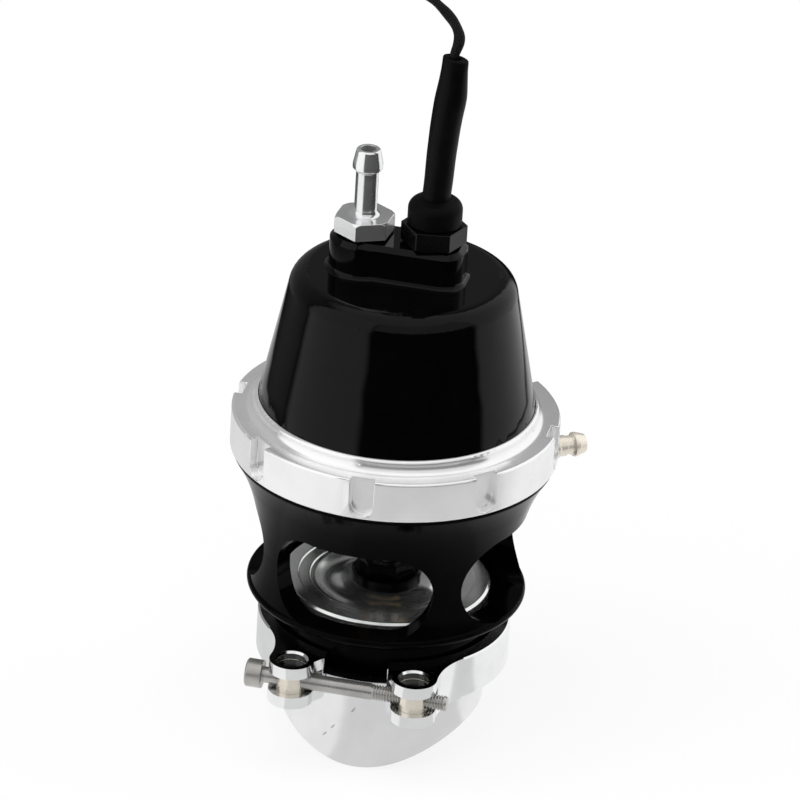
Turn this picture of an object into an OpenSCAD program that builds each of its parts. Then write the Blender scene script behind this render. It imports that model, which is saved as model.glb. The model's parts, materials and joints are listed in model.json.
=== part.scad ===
// Blow off valve with a V clamp, a saddle weld flange and a valve position sensor.
// Millimetres, +Z along the valve axis. The origin is on that axis, at the crest of the charge pipe.
// The pipe runs along X, and the clamp opens towards -Y.

/* [Weld flange] */
// outside diameter of the charge pipe that the saddle fits
pipe_d = 76.2; // [64:0.1:110]
// outside diameter of the weld tube
tube_d = 50.8; // [46:0.1:54]
// wall of the weld tube
tube_wall = 3; // [2:0.1:4]
// height of the V joint above the crest of the pipe
joint_z = 16.2; // [13:0.1:26]

/* [V joint and clamp] */
// reach of the two V lips outside the weld tube
lip_reach = 3.2; // [2.6:0.1:4.6]
// thickness of each lip at its rim
lip_t = 2; // [1.5:0.1:2.6]
// slope of the lips' flanks, in degrees
lip_slope = 20; // [12:1:28]
// wall of the clamp outside the lips
clamp_wall = 2.5; // [1.9:0.1:6]
// height of the clamp
clamp_h = 11; // [10:0.1:14]
// gap between the clamp's ends
clamp_gap = 15.8; // [12:0.1:17]
// distance between the two barrels
barrel_pitch = 30.6; // [29:0.1:34]
// distance of the clamp screw outside the clamp's ring
screw_out = 1.75; // [0.9:0.05:4]
// diameter of the barrels
barrel_d = 7; // [6.4:0.1:7.6]
// wall of the ears around the barrels
ear_wall = 2; // [1.4:0.1:2.6]
// thickness of each lug of an ear
lug_t = 3; // [2.4:0.1:3.4]
// radius of the hollow between an ear and the ring
ear_blend = 18; // [10:0.5:24]
// diameter of the clamp screw
screw_d = 4; // [3:0.1:4.4]
// length of the clamp screw under its head
screw_l = 46; // [44:0.1:52]
// free length between the screw's head and the middle of the plain barrel
screw_free = 7; // [6:0.1:9]
// length of the screw's thread
thread_l = 19; // [14:0.1:24]
// radius of the hinge knuckles
knuckle_r = 4; // [3.4:0.1:4.6]
// diameter of the hinge pin
hinge_pin_d = 3; // [2.4:0.1:3.6]

/* [Body] */
// reach of the lower rim outside the waist
rim_step = 1.95; // [1.5:0.05:4.6]
// height of the rim's middle above the V joint
rim_up = 13.3; // [12.5:0.1:16]
// thickness of a pillar at the waist
pillar_t = 4.8; // [3.6:0.1:5.4]
// height of a window
window_h = 22.3; // [19:0.1:24]
// width of a pillar at the waist
pillar_w = 7.6; // [5:0.1:10]
// gap between the valve disc and the pillars
cage_gap = 1.9; // [1:0.1:2.4]
// turn of the pillars about the valve axis, in degrees
body_turn = -5.5; // [-20:0.5:20]
// step from the collar's wall in to the bowl
bowl_step = 0.7; // [0.2:0.1:1.7]
// height of the bowl above the windows
bowl_h = 13.4; // [12.4:0.1:18]

/* [Collar and cap] */
// outside diameter of the collar
collar_d = 80; // [72:0.1:92]
// height of the collar's outer wall
collar_h = 10.4; // [9.8:0.1:13]
// wall of the collar outside its thread
collar_wall = 3; // [2.6:0.1:3.4]
// number of spanner notches
notches = 8; // [4:1:12]
// width of a notch
notch_w = 5.8; // [3:0.1:7]
// depth of a notch
notch_depth = 2.2; // [1:0.1:2.6]
// turn of the notches about the valve axis, in degrees
notch_turn = 1.5; // [-20:0.5:20]
// ledge from the collar's wall in to the cap
cap_ledge = 6.35; // [5.8:0.05:7.5]
// narrowing of the cap's radius from the collar to its top
cap_taper = 6.45; // [3.6:0.05:8.6]
// height of the cap above the collar
cap_h = 32.3; // [30:0.1:40]
// wall of the cap
cap_wall = 3; // [2:0.1:4]
// radius of the cap's top edge
cap_edge = 2; // [1:0.1:2.6]
// height of the port block
block_h = 10.3; // [9:0.1:14]
// depth of the port block, front to back
block_w = 14.4; // [14:0.1:16]
// chamfer around the top of the port block
block_chamfer = 1.2; // [0.6:0.1:1.6]

/* [Ports and sensor] */
// distance of the top nipple from the valve axis
nipple_x = 10.5; // [10:0.1:12]
// width of the top nipple's hexagon, across flats
nipple_hex = 13; // [11:0.1:13.4]
// height of the top nipple above its hexagon
nipple_h = 17.2; // [14:0.1:22]
// bore of the top nipple
nipple_bore = 3.8; // [2.4:0.1:4.2]
// direction of the side nipple from the front, in degrees
side_turn = 125; // [110:1:140]
// reach of the side nipple outside the bowl's widest place
side_out = 11.4; // [9:0.1:16]
// distance of the sensor from the valve axis
sensor_x = 6.6; // [6.4:0.1:7.4]
// width of the sensor's hexagon, across flats
sensor_hex = 14; // [13:0.1:14.4]
// height of the sensor's hexagon
sensor_hex_h = 4.6; // [4:0.1:7]
// diameter of the sensor's boot
boot_d = 13.2; // [11:0.1:13.4]
// length of the heat shrink sleeve
sleeve_l = 37.2; // [35:0.1:39]
// lean of the heat shrink sleeve, in degrees
sleeve_lean = 3.5; // [2.5:0.1:4.5]
// diameter of the sensor lead
lead_d = 2.4; // [2:0.1:3]

/* [Valve] */
// reach of the valve disc outside the bore
disc_land = 3.2; // [3:0.1:3.8]
// thickness of the disc's rim
disc_t = 2.5; // [2.3:0.1:2.8]
// diameter of the valve stem
stem_d = 8; // [7:0.1:9]
// diameter of the disc's hub
hub_d = 17.2; // [15:0.1:18.4]
// lift of the valve
lift = 9; // [6:0.1:9]
// diameter of the diaphragm's plates
plate_d = 40; // [37:0.1:42]
// mean diameter of the spring
spring_d = 31; // [30:0.1:34]
// wire of the spring
wire_d = 2.6; // [2:0.1:3]
// turns of the spring
spring_turns = 6.5; // [5:0.5:8]

/* [Hidden] */
$fn = 96;

// clearances: run is for sliding and turning fits, ease for pieces that only lie close
run = 0.05;
ease = 0.3;

// radii that follow from the driving diameters
pipe_r = pipe_d / 2;
tube_r = tube_d / 2;
bore_r = tube_r - tube_wall;
lip_r = tube_r + lip_reach;
neck_r = lip_r - lip_reach / 2;
clamp_r = lip_r + clamp_wall;
screw_y = clamp_r + screw_out;
throat_r = bore_r - 0.4;
spigot_r = throat_r - 0.4;
disc_r = bore_r + disc_land;
cage_r = disc_r + cage_gap;
waist_r = cage_r + pillar_t;
rim_r = waist_r + rim_step;
collar_r = collar_d / 2;
bowl_r = collar_r - bowl_step;
screw_thread_r = collar_r - collar_wall;
cap_r = collar_r - cap_ledge;
cap_top_r = cap_r - cap_taper;
barrel_r = barrel_d / 2;
ear_r = barrel_r + ear_wall;
ear_x = barrel_pitch / 2;
stem_r = stem_d / 2;

// levels of the body and the collar
saddle_low = -(pipe_r - sqrt(pipe_r * pipe_r - tube_r * tube_r));
rim_z = joint_z + rim_up;
rim_edge = 1.1;
window_low = rim_z + rim_edge - 0.3;
window_mid = window_low + window_h / 2;
window_top = window_low + window_h;
floor_z = window_top + 2.9;
collar_z = window_top + bowl_h;
bead_z = collar_z + 3;
bead_t = 2;
foot_z = bead_z + bead_t;
lip_under = collar_z + collar_h - 0.9;
cap_z = collar_z + collar_h + 3.3;
cap_top = cap_z + cap_h;
ceiling_z = cap_top - 3.5;
block_top = cap_top + block_h;

// levels of the moving valve at rest
seat_z = rim_z - 1.2;
disc_low = seat_z + 0.2;
disc_top = disc_low + disc_t;
nut_h = stem_r;
stem_low = disc_low - 1.8 - 1.25 * nut_h;
hub_z = disc_top - 0.8;
hub_top = hub_z + 3;
nut_top = hub_top + 3.2;
guide_low = nut_top + lift + 1;
plate_low = floor_z + 1.5;
plate_t = 1.4;
web_t = 1;
web_low = plate_low + plate_t;
cup_t = plate_d / 20;
plate_top = web_low + web_t + cup_t;
stem_nut_top = plate_top + 1.1 * nut_h;
magnet_t = 0.75 * stem_r;
magnet_top = stem_nut_top + 1.2 + magnet_t;
probe_low = magnet_top + lift + 1.8;

// the seal in the V joint and the guide of the stem
seal_cord = 0.9;
seal_r = (bore_r + lip_r) / 2 - 0.4;
guide_r = 1.55 * stem_r;

// the clamp's hinge and the screw's thread
hinge_y = clamp_r + 2.4;
knuckle_t = clamp_h / 3;
screw_core_r = screw_d / 2 - 0.1;

// how far a barrel's ends lie below the lugs' faces
barrel_deep = lug_t - 1;

// the side nipple stands halfway up the bowl, on a spot face
side_z = collar_z - 5.8;
side_thread_r = 2.4;
side_base_r = 3;
side_seat = screw_thread_r - 0.6;
side_tip = bowl_r + side_out;

// the port block and what is screwed into it
block_round = 5;
column_r = 8.2;
block_end = sensor_x + 8.1;
port_r = 4.6;
barrel_thread_r = 5;
nipple_base = block_top + 0.6;
sensor_base = block_top + 0.6;

// the sensor's boot and its sleeve
boot_z = sensor_base + sensor_hex_h;
boot_h = 6.8;
sleeve_z = boot_z + boot_h;
sleeve_r = 3.5;
sleeve_end = [sensor_x + sleeve_l * sin(sleeve_lean), 0, sleeve_z + sleeve_l * cos(sleeve_lean)];

// the sensor lead's route from the sleeve's end: over in one loop and down behind the valve
lead_points = [
    [-0.1, 0, -0.2], [0.5, 0.3, 1.8], [0.9, 0.9, 3.4], [0.7, 1.8, 4.8], [-0.2, 2.9, 6.2],
    [-1.5, 3.9, 7.5], [-3.4, 4.9, 8.8], [-5.6, 6, 10], [-8.3, 7.4, 11.4], [-11.9, 9.6, 13.5],
    [-16.5, 13.6, 15.2], [-20.5, 19.2, 15.4], [-23.5, 26, 13.6], [-25.1, 32.8, 10.1], [-24.7, 38.8, 5.4],
    [-22.3, 43.4, 0], [-18.7, 45.9, -4.4], [-14.9, 46.5, -7.2], [-12, 47.1, -10.2], [-10.1, 47.7, -13],
    [-9.1, 48.1, -15.8], [-9.1, 48.3, -18.6], [-9.9, 48.4, -21.8], [-10.6, 48.6, -25.8], [-10.9, 48.8, -31.4],
    [-10.9, 48.8, -45.4], [-10.9, 48.8, -59.4], [-10.9, 48.8, -73.4], [-10.9, 48.8, -87.4],
    [-10.9, 48.8, -101.4], [-10.9, 48.8, -113.4]
];
// the lead hangs clear of the collar
lead_back = (collar_r + 8.8) / 48.8;
lead_route = [for (p = lead_points) sleeve_end + [p[0], p[1] * lead_back, p[2]]];

// hexagonal prism of a given width across flats
module hexagon(af, h) {
    cylinder(d = af / cos(30), h = h, $fn = 6);
}

// flat ring around the axis
module ring(r_out, r_in, h) {
    difference() {
        cylinder(r = r_out, h = h);
        translate([0, 0, -1]) cylinder(r = r_in, h = h + 2);
    }
}

// round ring, as a seal
module torus(r_mean, r_cord) {
    rotate_extrude() translate([r_mean, 0]) circle(r = r_cord);
}

// weld flange: tube with a V lip, a seal groove and a saddle for the pipe
module weld_flange() {
    groove_out = seal_r + seal_cord + 0.1;
    groove_in = seal_r - seal_cord - 0.1;
    groove_z = joint_z - 2 * seal_cord;
    color("silver") difference() {
        rotate_extrude() polygon([
            [bore_r, saddle_low - 1], [tube_r, saddle_low - 1],
            [tube_r, joint_z - lip_t - (lip_r - tube_r) * tan(lip_slope)],
            [lip_r, joint_z - lip_t], [lip_r, joint_z], [groove_out, joint_z],
            [groove_out, groove_z], [groove_in, groove_z], [groove_in, joint_z], [bore_r, joint_z]
        ]);
        translate([0, 0, -pipe_r]) rotate([0, 90, 0])
            cylinder(r = pipe_r, h = tube_d + 20, center = true, $fn = 160);
    }
}

// seal between the weld flange and the body
module joint_ring() {
    color("black") translate([0, 0, joint_z - seal_cord]) torus(seal_r, seal_cord);
}

// one side of the clamp's section: a V groove that draws the two lips together
module clamp_section() {
    chamfer = 0.4;
    half_h = clamp_h / 2;
    groove_r = lip_r + ease;
    tip_r = neck_r + 0.5;
    groove_h = lip_t + 0.2;
    tip_h = groove_h + (groove_r - tip_r) * tan(lip_slope);
    polygon([
        [clamp_r, -half_h + chamfer], [clamp_r, half_h - chamfer], [clamp_r - chamfer, half_h],
        [tip_r + chamfer, half_h], [tip_r, half_h - chamfer], [tip_r, tip_h], [groove_r, groove_h],
        [groove_r, -groove_h], [tip_r, -tip_h], [tip_r, -half_h + chamfer], [tip_r + chamfer, -half_h],
        [clamp_r - chamfer, -half_h]
    ]);
}

// plan of the ear on the +X side, with a hollow blend into the ring
module ear_plan() {
    ear_at = [ear_x, -screw_y];
    reach = norm(ear_at);
    blend_reach = clamp_r + ear_blend;
    side = ear_r + ear_blend;
    bend = acos((reach * reach + blend_reach * blend_reach - side * side) / (2 * reach * blend_reach));
    blend_turn = atan2(ear_at[1], ear_at[0]) + bend;
    blend_way = [cos(blend_turn), sin(blend_turn)];
    blend_at = blend_reach * blend_way;
    translate(ear_at) circle(r = ear_r);
    difference() {
        polygon([[ear_x, -neck_r + 3], ear_at, blend_at, (clamp_r - 1) * blend_way]);
        translate(blend_at) circle(r = ear_blend);
    }
    polygon([
        [clamp_gap / 2, -neck_r + 3], [clamp_gap / 2, -clamp_r + 1.2],
        [ear_x - ear_r, -screw_y], ear_at, [ear_x, -neck_r + 3]
    ]);
}

// one half of the clamp on the +X side, without its knuckles
module clamp_half() {
    slot_h = clamp_h - 2 * lug_t;
    difference() {
        union() {
            rotate([0, 0, -90]) rotate_extrude(angle = 180) clamp_section();
            difference() {
                translate([0, 0, -clamp_h / 2]) linear_extrude(clamp_h) ear_plan();
                cylinder(r = lip_r + 1.4, h = clamp_h + 2, center = true);
            }
        }
        // the open front, the gap at the hinge and the slot of the fork
        translate([0, -clamp_r, 0]) cube([clamp_gap, 2 * clamp_r, clamp_h + 2], center = true);
        translate([0, clamp_r, 0]) cube([0.8, 2 * clamp_r, clamp_h + 2], center = true);
        translate([clamp_gap / 2 - 1, -screw_y - 10, -slot_h / 2])
            cube([30, 10 + screw_d / 2 + 0.6, slot_h]);
        // the seats of the barrel, with eased mouths
        translate([ear_x, -screw_y, -clamp_h]) cylinder(r = barrel_r + run, h = 2 * clamp_h);
        for (side = [0, 1]) mirror([0, 0, side]) translate([ear_x, -screw_y, clamp_h / 2 - 0.5])
            cylinder(r1 = barrel_r + run, r2 = barrel_r + run + 0.55, h = 0.55);
    }
}

// knuckle of the hinge, bored for its pin
module knuckle(low, h) {
    translate([0, hinge_y, low]) ring(knuckle_r, hinge_pin_d / 2 + run, h);
}

// room that a half leaves for the other half's knuckle
module knuckle_room(low, h) {
    translate([0, hinge_y, low]) cylinder(r = knuckle_r + ease, h = h);
}

module pin_room() {
    translate([0, hinge_y, -clamp_h]) cylinder(r = hinge_pin_d / 2 + run, h = 2 * clamp_h);
}

// right half: carries the two outer knuckles and the threaded barrel
module clamp_right() {
    color("gainsboro") translate([0, 0, joint_z]) {
        difference() {
            clamp_half();
            knuckle_room(-knuckle_t / 2 - 0.1, knuckle_t + 0.2);
            pin_room();
        }
        for (side = [0, 1]) mirror([0, 0, side]) difference() {
            knuckle(knuckle_t / 2 + 0.1, knuckle_t - 0.1);
            cylinder(r = clamp_r - 1.2, h = clamp_h);
        }
    }
}

// left half: carries the middle knuckle and the plain barrel
module clamp_left() {
    color("gainsboro") translate([0, 0, joint_z]) {
        difference() {
            mirror([1, 0, 0]) clamp_half();
            for (side = [0, 1]) mirror([0, 0, side]) knuckle_room(knuckle_t / 2, clamp_h);
            pin_room();
        }
        difference() {
            knuckle(-knuckle_t / 2, knuckle_t);
            cylinder(r = clamp_r - 1.2, h = clamp_h, center = true);
        }
    }
}

module hinge_pin() {
    color("lightgray") translate([0, hinge_y, joint_z - clamp_h / 2])
        cylinder(d = hinge_pin_d, h = clamp_h);
}

// cross barrel in an ear, with a hole for the screw along X
module barrel(hole_r) {
    color("tan") difference() {
        translate([0, -screw_y, joint_z - clamp_h / 2 + barrel_deep])
            cylinder(r = barrel_r, h = clamp_h - 2 * barrel_deep);
        translate([-barrel_d, -screw_y, joint_z]) rotate([0, 90, 0]) cylinder(r = hole_r, h = 2 * barrel_d);
    }
}

module plain_barrel() {
    translate([-ear_x, 0, 0]) barrel(screw_d / 2 + run);
}

module threaded_barrel() {
    translate([ear_x, 0, 0]) barrel(screw_core_r + run);
}

// clamp screw: socket head on the left, thread on the right
module clamp_screw() {
    head_h = screw_d;
    head_r = 0.875 * screw_d;
    socket = 0.75 * screw_d;
    color("gray") translate([-ear_x - screw_free, -screw_y, joint_z]) rotate([0, 90, 0]) difference() {
        union() {
            translate([0, 0, -head_h]) cylinder(r1 = head_r - 0.3, r2 = head_r, h = 0.3);
            translate([0, 0, -head_h + 0.3]) cylinder(r = head_r, h = head_h - 0.3);
            cylinder(d = screw_d, h = screw_l - thread_l);
            cylinder(r = screw_core_r, h = screw_l - 0.5);
            translate([0, 0, screw_l - 0.5]) cylinder(r1 = screw_core_r, r2 = screw_core_r - 0.4, h = 0.5);
        }
        translate([0, 0, -head_h - 1]) hexagon(socket, head_h / 2 + 1);
    }
}

// outline of the body turned about the valve axis: bowl, hollow waist, rim and V lip outside,
// the diaphragm's chamber, the stem guide, the cage and the seat inside
module body_section() {
    flare_low = rim_r - 0.5 - waist_r;
    flare_up = bowl_r - waist_r;
    low_dz = window_mid - rim_z;
    up_dz = collar_z - 1 - window_mid;
    low_r = (low_dz * low_dz + flare_low * flare_low) / (2 * flare_low);
    up_r = (up_dz * up_dz + flare_up * flare_up) / (2 * flare_up);
    ceiling = window_top + 0.6;
    difference() {
        polygon([
            [throat_r, joint_z], [lip_r, joint_z], [lip_r, joint_z + lip_t],
            [neck_r, joint_z + lip_t + (lip_r - neck_r) * tan(lip_slope)],
            [neck_r, rim_z - 5], [rim_r - 1.5, rim_z - rim_edge + 0.2], [rim_r - 1.5, rim_z],
            [bowl_r, rim_z], [bowl_r, collar_z], [screw_thread_r - run, collar_z],
            [screw_thread_r - run, bead_z], [screw_thread_r - 3.4, bead_z],
            [screw_thread_r - 3.4, bead_z - 2.5], [screw_thread_r - 6, bead_z - 5],
            [screw_thread_r - 6, floor_z], [guide_r + 2.8, floor_z],
            [guide_r + 2.8, floor_z + 0.8], [guide_r, floor_z + 0.8], [guide_r, guide_low],
            [guide_r + 3, guide_low], [guide_r + 3, ceiling - 1], [guide_r + 5, ceiling],
            [cage_r - 2, ceiling], [cage_r, ceiling - 2], [cage_r, seat_z],
            [throat_r + 0.8, seat_z], [throat_r, seat_z - 0.8]
        ]);
        // the waist is hollowed by two large rounds that meet smoothly at the windows' middle
        intersection() {
            translate([waist_r + low_r, window_mid]) circle(r = low_r, $fn = 240);
            translate([waist_r - 1, rim_z - 1]) square([bowl_r, low_dz + 1]);
        }
        intersection() {
            translate([waist_r + up_r, window_mid]) circle(r = up_r, $fn = 240);
            translate([waist_r - 1, window_mid]) square([bowl_r, up_dz + 2]);
        }
    }
    translate([rim_r - rim_edge, rim_z]) circle(r = rim_edge);
}

// one window: a sector with round ends, cut outwards from the cage
module window() {
    end_r = window_h / 2;
    half = 45 - asin(pillar_w / 2 / waist_r) - asin(end_r / waist_r);
    translate([0, 0, window_low + 0.12]) rotate([0, 0, -90 - half]) rotate_extrude(angle = 2 * half)
        translate([cage_r - 6, 0]) square([30, window_h - 0.24]);
    for (turn = [-half, half]) rotate([0, 0, turn])
        translate([0, -cage_r + 6, window_mid]) rotate([90, 0, 0]) cylinder(r = end_r, h = 30);
}

// body: bowl, four pillars with the windows between them, rim and V lip
module body() {
    color([0.1, 0.1, 0.1]) difference() {
        rotate_extrude($fn = 160) body_section();
        rotate([0, 0, body_turn]) for (quarter = [0 : 90 : 270]) rotate([0, 0, quarter]) window();
        // the side nipple's thread and its spot face
        rotate([0, 0, side_turn - 90]) translate([side_seat, 0, side_z]) rotate([0, 90, 0]) {
            translate([0, 0, -10]) cylinder(r = side_thread_r + run, h = 20);
            cylinder(r = side_base_r + ease, h = 10);
        }
    }
}

module guide_bush() {
    h = floor_z - 1.2 - guide_low;
    color("peru") translate([0, 0, guide_low]) ring(guide_r - 0.02, stem_r + run, h);
}

module stem_seal() {
    color("black") translate([0, 0, floor_z - 1.2]) ring(guide_r - 0.02, stem_r + run, 2);
}

// valve disc: flat rim, stepped ring and a dish towards the hub, with a seal groove below
module valve_disc() {
    groove = [spigot_r + 0.6, spigot_r + 2.7];
    dish_r = 6;
    color("lightgray") rotate_extrude() difference() {
        polygon([
            [stem_r + run, disc_low - 1.8], [spigot_r - 0.6, disc_low - 1.8], [spigot_r, disc_low - 1.2],
            [spigot_r, disc_low], [groove[0], disc_low], [groove[0], disc_low + 1.7],
            [groove[1], disc_low + 1.7], [groove[1], disc_low], [disc_r, disc_low],
            [disc_r, disc_top - 0.3], [disc_r - 0.3, disc_top], [disc_r - 3.9, disc_top],
            [disc_r - 4.1, disc_top - 0.4], [disc_r - 6.8, disc_top - 0.5], [disc_r - 7, disc_top - 0.8],
            [stem_r + run, disc_top - 0.8]
        ]);
        translate([(disc_r - 7.4 + hub_d / 2 + 1.8) / 2, disc_top - 0.8 + 5]) circle(r = dish_r);
    }
}

module seat_ring() {
    color("black") translate([0, 0, seat_z + 0.95]) torus(spigot_r + 1.65, 0.95);
}

// hub on the disc: a round flange with a hexagon above it
module disc_hub() {
    color([0.08, 0.08, 0.08]) difference() {
        union() {
            translate([0, 0, hub_z]) cylinder(d = hub_d, h = 2.4);
            translate([0, 0, hub_z + 2.4]) cylinder(d1 = hub_d, d2 = hub_d - 1.2, h = 0.6);
            translate([0, 0, hub_top]) hexagon(1.5 * stem_d, nut_top - hub_top);
        }
        translate([0, 0, hub_z - 1]) cylinder(r = stem_r + run, h = nut_top - hub_z + 2);
    }
}

module disc_nut() {
    color("lightgray") translate([0, 0, disc_low - 1.8 - nut_h]) difference() {
        hexagon(1.625 * stem_d, nut_h);
        translate([0, 0, -1]) cylinder(r = stem_r + run, h = nut_h + 2);
    }
}

// stem: shoulder under the diaphragm's plates, slim thread above
module valve_stem() {
    color("silver") {
        translate([0, 0, stem_low]) cylinder(r = stem_r, h = plate_low - stem_low);
        translate([0, 0, plate_low - 1]) cylinder(r = stem_r - 1, h = stem_nut_top + 2.2 - plate_low);
    }
}

module lower_plate() {
    color("lightgray") translate([0, 0, plate_low]) ring(plate_d / 2, stem_r - 1 + run, plate_t);
}

// upper plate: a cup that centres the spring
module upper_plate() {
    color("lightgray") translate([0, 0, web_low + web_t]) difference() {
        union() {
            cylinder(d = plate_d, h = cup_t);
            ring(plate_d / 2, 0.465 * plate_d, 2.3 * cup_t);
        }
        translate([0, 0, -1]) cylinder(r = stem_r - 1 + run, h = cup_t + 2);
    }
}

module stem_nut() {
    color("lightgray") translate([0, 0, plate_top]) difference() {
        hexagon(1.25 * stem_d, stem_nut_top - plate_top);
        translate([0, 0, -1]) cylinder(r = stem_r - 1 + run, h = 10);
    }
}

module magnet() {
    color("dimgray") translate([0, 0, magnet_top - magnet_t]) cylinder(r = 2.25 * stem_r, h = magnet_t);
}

// diaphragm: bead in the body's rim, sloping web and a flat middle between the plates
module diaphragm() {
    bead_r = screw_thread_r - 1;
    bead_in = screw_thread_r - 6.4;
    roll_r = plate_d / 2 + 1.6;
    color("saddlebrown") rotate_extrude() polygon([
        [stem_r - 1 + run, web_low], [roll_r, web_low], [bead_in + 0.6, bead_z], [bead_r, bead_z],
        [bead_r, foot_z], [bead_in - 0.6, foot_z], [roll_r - 0.8, web_low + web_t],
        [stem_r - 1 + run, web_low + web_t]
    ]);
}

// point of the spring's wire: closed end turns, open turns between them
function spring_rise(t) = let (flat = 0.75 / spring_turns)
    t < flat ? t / flat * 0.09 : t > 1 - flat ? 0.91 + (t - 1 + flat) / flat * 0.09
        : 0.09 + (t - flat) / (1 - 2 * flat) * 0.82;

// round tube swept along points, closed at both ends; aside is a direction that it never runs in
module swept(points, r, sides, aside) {
    last = len(points) - 1;
    along = [for (i = [0 : last]) let (d = points[min(i + 1, last)] - points[max(i - 1, 0)]) d / norm(d)];
    across = [for (d = along) let (c = cross(d, aside)) c / norm(c)];
    rings = [for (i = [0 : last]) for (k = [0 : sides - 1])
        let (a = 360 * k / sides, u = across[i], v = cross(along[i], u))
        points[i] + r * (cos(a) * u + sin(a) * v)];
    walls = [for (i = [0 : last - 1]) for (k = [0 : sides - 1])
        let (n = (k + 1) % sides, here = i * sides, next = here + sides)
        each [[here + k, next + n, here + n], [here + k, next + k, next + n]]];
    ends = [[for (k = [0 : sides - 1]) k], [for (k = [sides - 1 : -1 : 0]) last * sides + k]];
    polyhedron(points = rings, faces = concat(walls, ends), convexity = 10);
}

module spring() {
    steps = 20 * spring_turns;
    low = plate_top + wire_d / 2;
    high = ceiling_z - wire_d / 2;
    color("slategray") swept([for (i = [0 : steps]) let (a = 360 * spring_turns * i / steps)
        [spring_d / 2 * cos(a), spring_d / 2 * sin(a), low + (high - low) * spring_rise(i / steps)]],
        wire_d / 2, 10, [0, 0, 1]);
}

// collar: threaded ring with a smooth rise to the cap and round-ended notches
module collar() {
    top = collar_z + collar_h;
    rise = cap_z - top;
    hole_r = cap_r + 0.1;
    notch_z = collar_z + 0.8 + notch_w / 2;
    color("white") difference() {
        rotate_extrude($fn = 160) difference() {
            union() {
                polygon([
                    [screw_thread_r, collar_z], [collar_r - 0.4, collar_z], [collar_r, collar_z + 0.4],
                    [collar_r, top - 0.4], [collar_r - 0.4, top], [hole_r + 2.85, top],
                    [hole_r + 2.85, top + 2], [hole_r + 0.85, top + 2], [hole_r + 0.85, cap_z - 0.85],
                    [hole_r, cap_z - 0.85], [hole_r, lip_under], [screw_thread_r, lip_under]
                ]);
                intersection() {
                    translate([hole_r, cap_z - 0.85]) circle(r = 0.85);
                    translate([hole_r, top]) square([3, rise]);
                }
            }
            translate([hole_r + 2.85, top + 2]) circle(r = 2);
        }
        for (i = [0 : notches - 1]) rotate([0, 0, notch_turn + i * 360 / notches])
            translate([0, -collar_r + notch_depth, notch_z]) {
                rotate([90, 0, 0]) cylinder(d = notch_w, h = 10);
                translate([-notch_w / 2, -10, 0]) cube([notch_w, 10, collar_h + 5]);
            }
    }
}

// plan of the port block: a round column at the nipple and rounded corners at the sensor
module block_plan() {
    translate([-nipple_x, 0]) circle(r = column_r);
    translate([-nipple_x, -block_w / 2]) square([nipple_x + block_end - block_round, block_w]);
    translate([0, -block_w / 2 + block_round]) square([block_end, block_w - 2 * block_round]);
    for (side = [-1, 1]) translate([block_end - block_round, side * (block_w / 2 - block_round)])
        circle(r = block_round);
}

// corner that a chamfer takes off an edge at a distance from the middle
module chamfer_corner(at) {
    c = block_chamfer;
    polygon([[at - c, 0.01], [at + 0.01, -c], [at + 2, -c], [at + 2, 0.01]]);
}

// what the chamfer takes off along the top of the port block
module block_edges() {
    straight = nipple_x + block_end - block_round;
    translate([-nipple_x, 0, 0]) intersection() {
        rotate_extrude() chamfer_corner(column_r);
        translate([-20, -10, -5]) cube([20, 20, 10]);
    }
    for (side = [0, 1]) mirror([0, side, 0]) {
        translate([-nipple_x, 0, 0]) rotate([90, 0, 90]) linear_extrude(straight) chamfer_corner(block_w / 2);
        translate([block_end - block_round, block_w / 2 - block_round, 0]) intersection() {
            rotate_extrude() chamfer_corner(block_round);
            translate([0, 0, -5]) cube([10, 10, 10]);
        }
    }
    translate([0, block_w / 2 - block_round, 0]) rotate([90, 0, 0])
        linear_extrude(block_w - 2 * block_round) chamfer_corner(block_end);
}

// cap: hollow cone with a clamped foot and the port block on top
module cap() {
    slope = atan2(cap_r - cap_top_r, cap_h);
    edge_in = cap_top_r - cap_edge * (1 - sin(slope)) / cos(slope);
    edge_z = cap_top - cap_edge;
    side_r = cap_r - (edge_z + cap_edge * sin(slope) - cap_z) * tan(slope);
    foot_r = screw_thread_r - 0.6;
    color([0.05, 0.05, 0.05]) difference() {
        union() {
            rotate_extrude($fn = 160) {
                polygon([
                    [screw_thread_r - 6.5, foot_z], [foot_r, foot_z], [foot_r, lip_under],
                    [cap_r, lip_under], [cap_r, cap_z], [side_r, edge_z + cap_edge * sin(slope)],
                    [edge_in, edge_z], [edge_in, cap_top], [0, cap_top], [0, ceiling_z],
                    [cap_top_r - cap_wall - 1, ceiling_z], [cap_r - cap_wall, cap_z],
                    [cap_r - cap_wall, foot_z + 2]
                ]);
                translate([edge_in, edge_z]) intersection() {
                    circle(r = cap_edge);
                    square([cap_edge + 1, cap_edge + 1]);
                }
            }
            difference() {
                translate([0, 0, cap_top - 0.5]) linear_extrude(block_h + 0.5) block_plan();
                translate([0, 0, block_top]) block_edges();
            }
        }
        translate([-nipple_x, 0, block_top - 8]) cylinder(r = port_r + run, h = 10);
        translate([-nipple_x, 0, ceiling_z - 1]) cylinder(d = nipple_bore, h = block_h + 6);
        translate([sensor_x, 0, ceiling_z - 1]) cylinder(r = barrel_thread_r + run, h = block_h + 6);
    }
}

module nipple_washer() {
    color("black") translate([-nipple_x, 0, block_top]) ring(nipple_hex / 2 - 0.8, port_r + run, 0.6);
}

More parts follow.
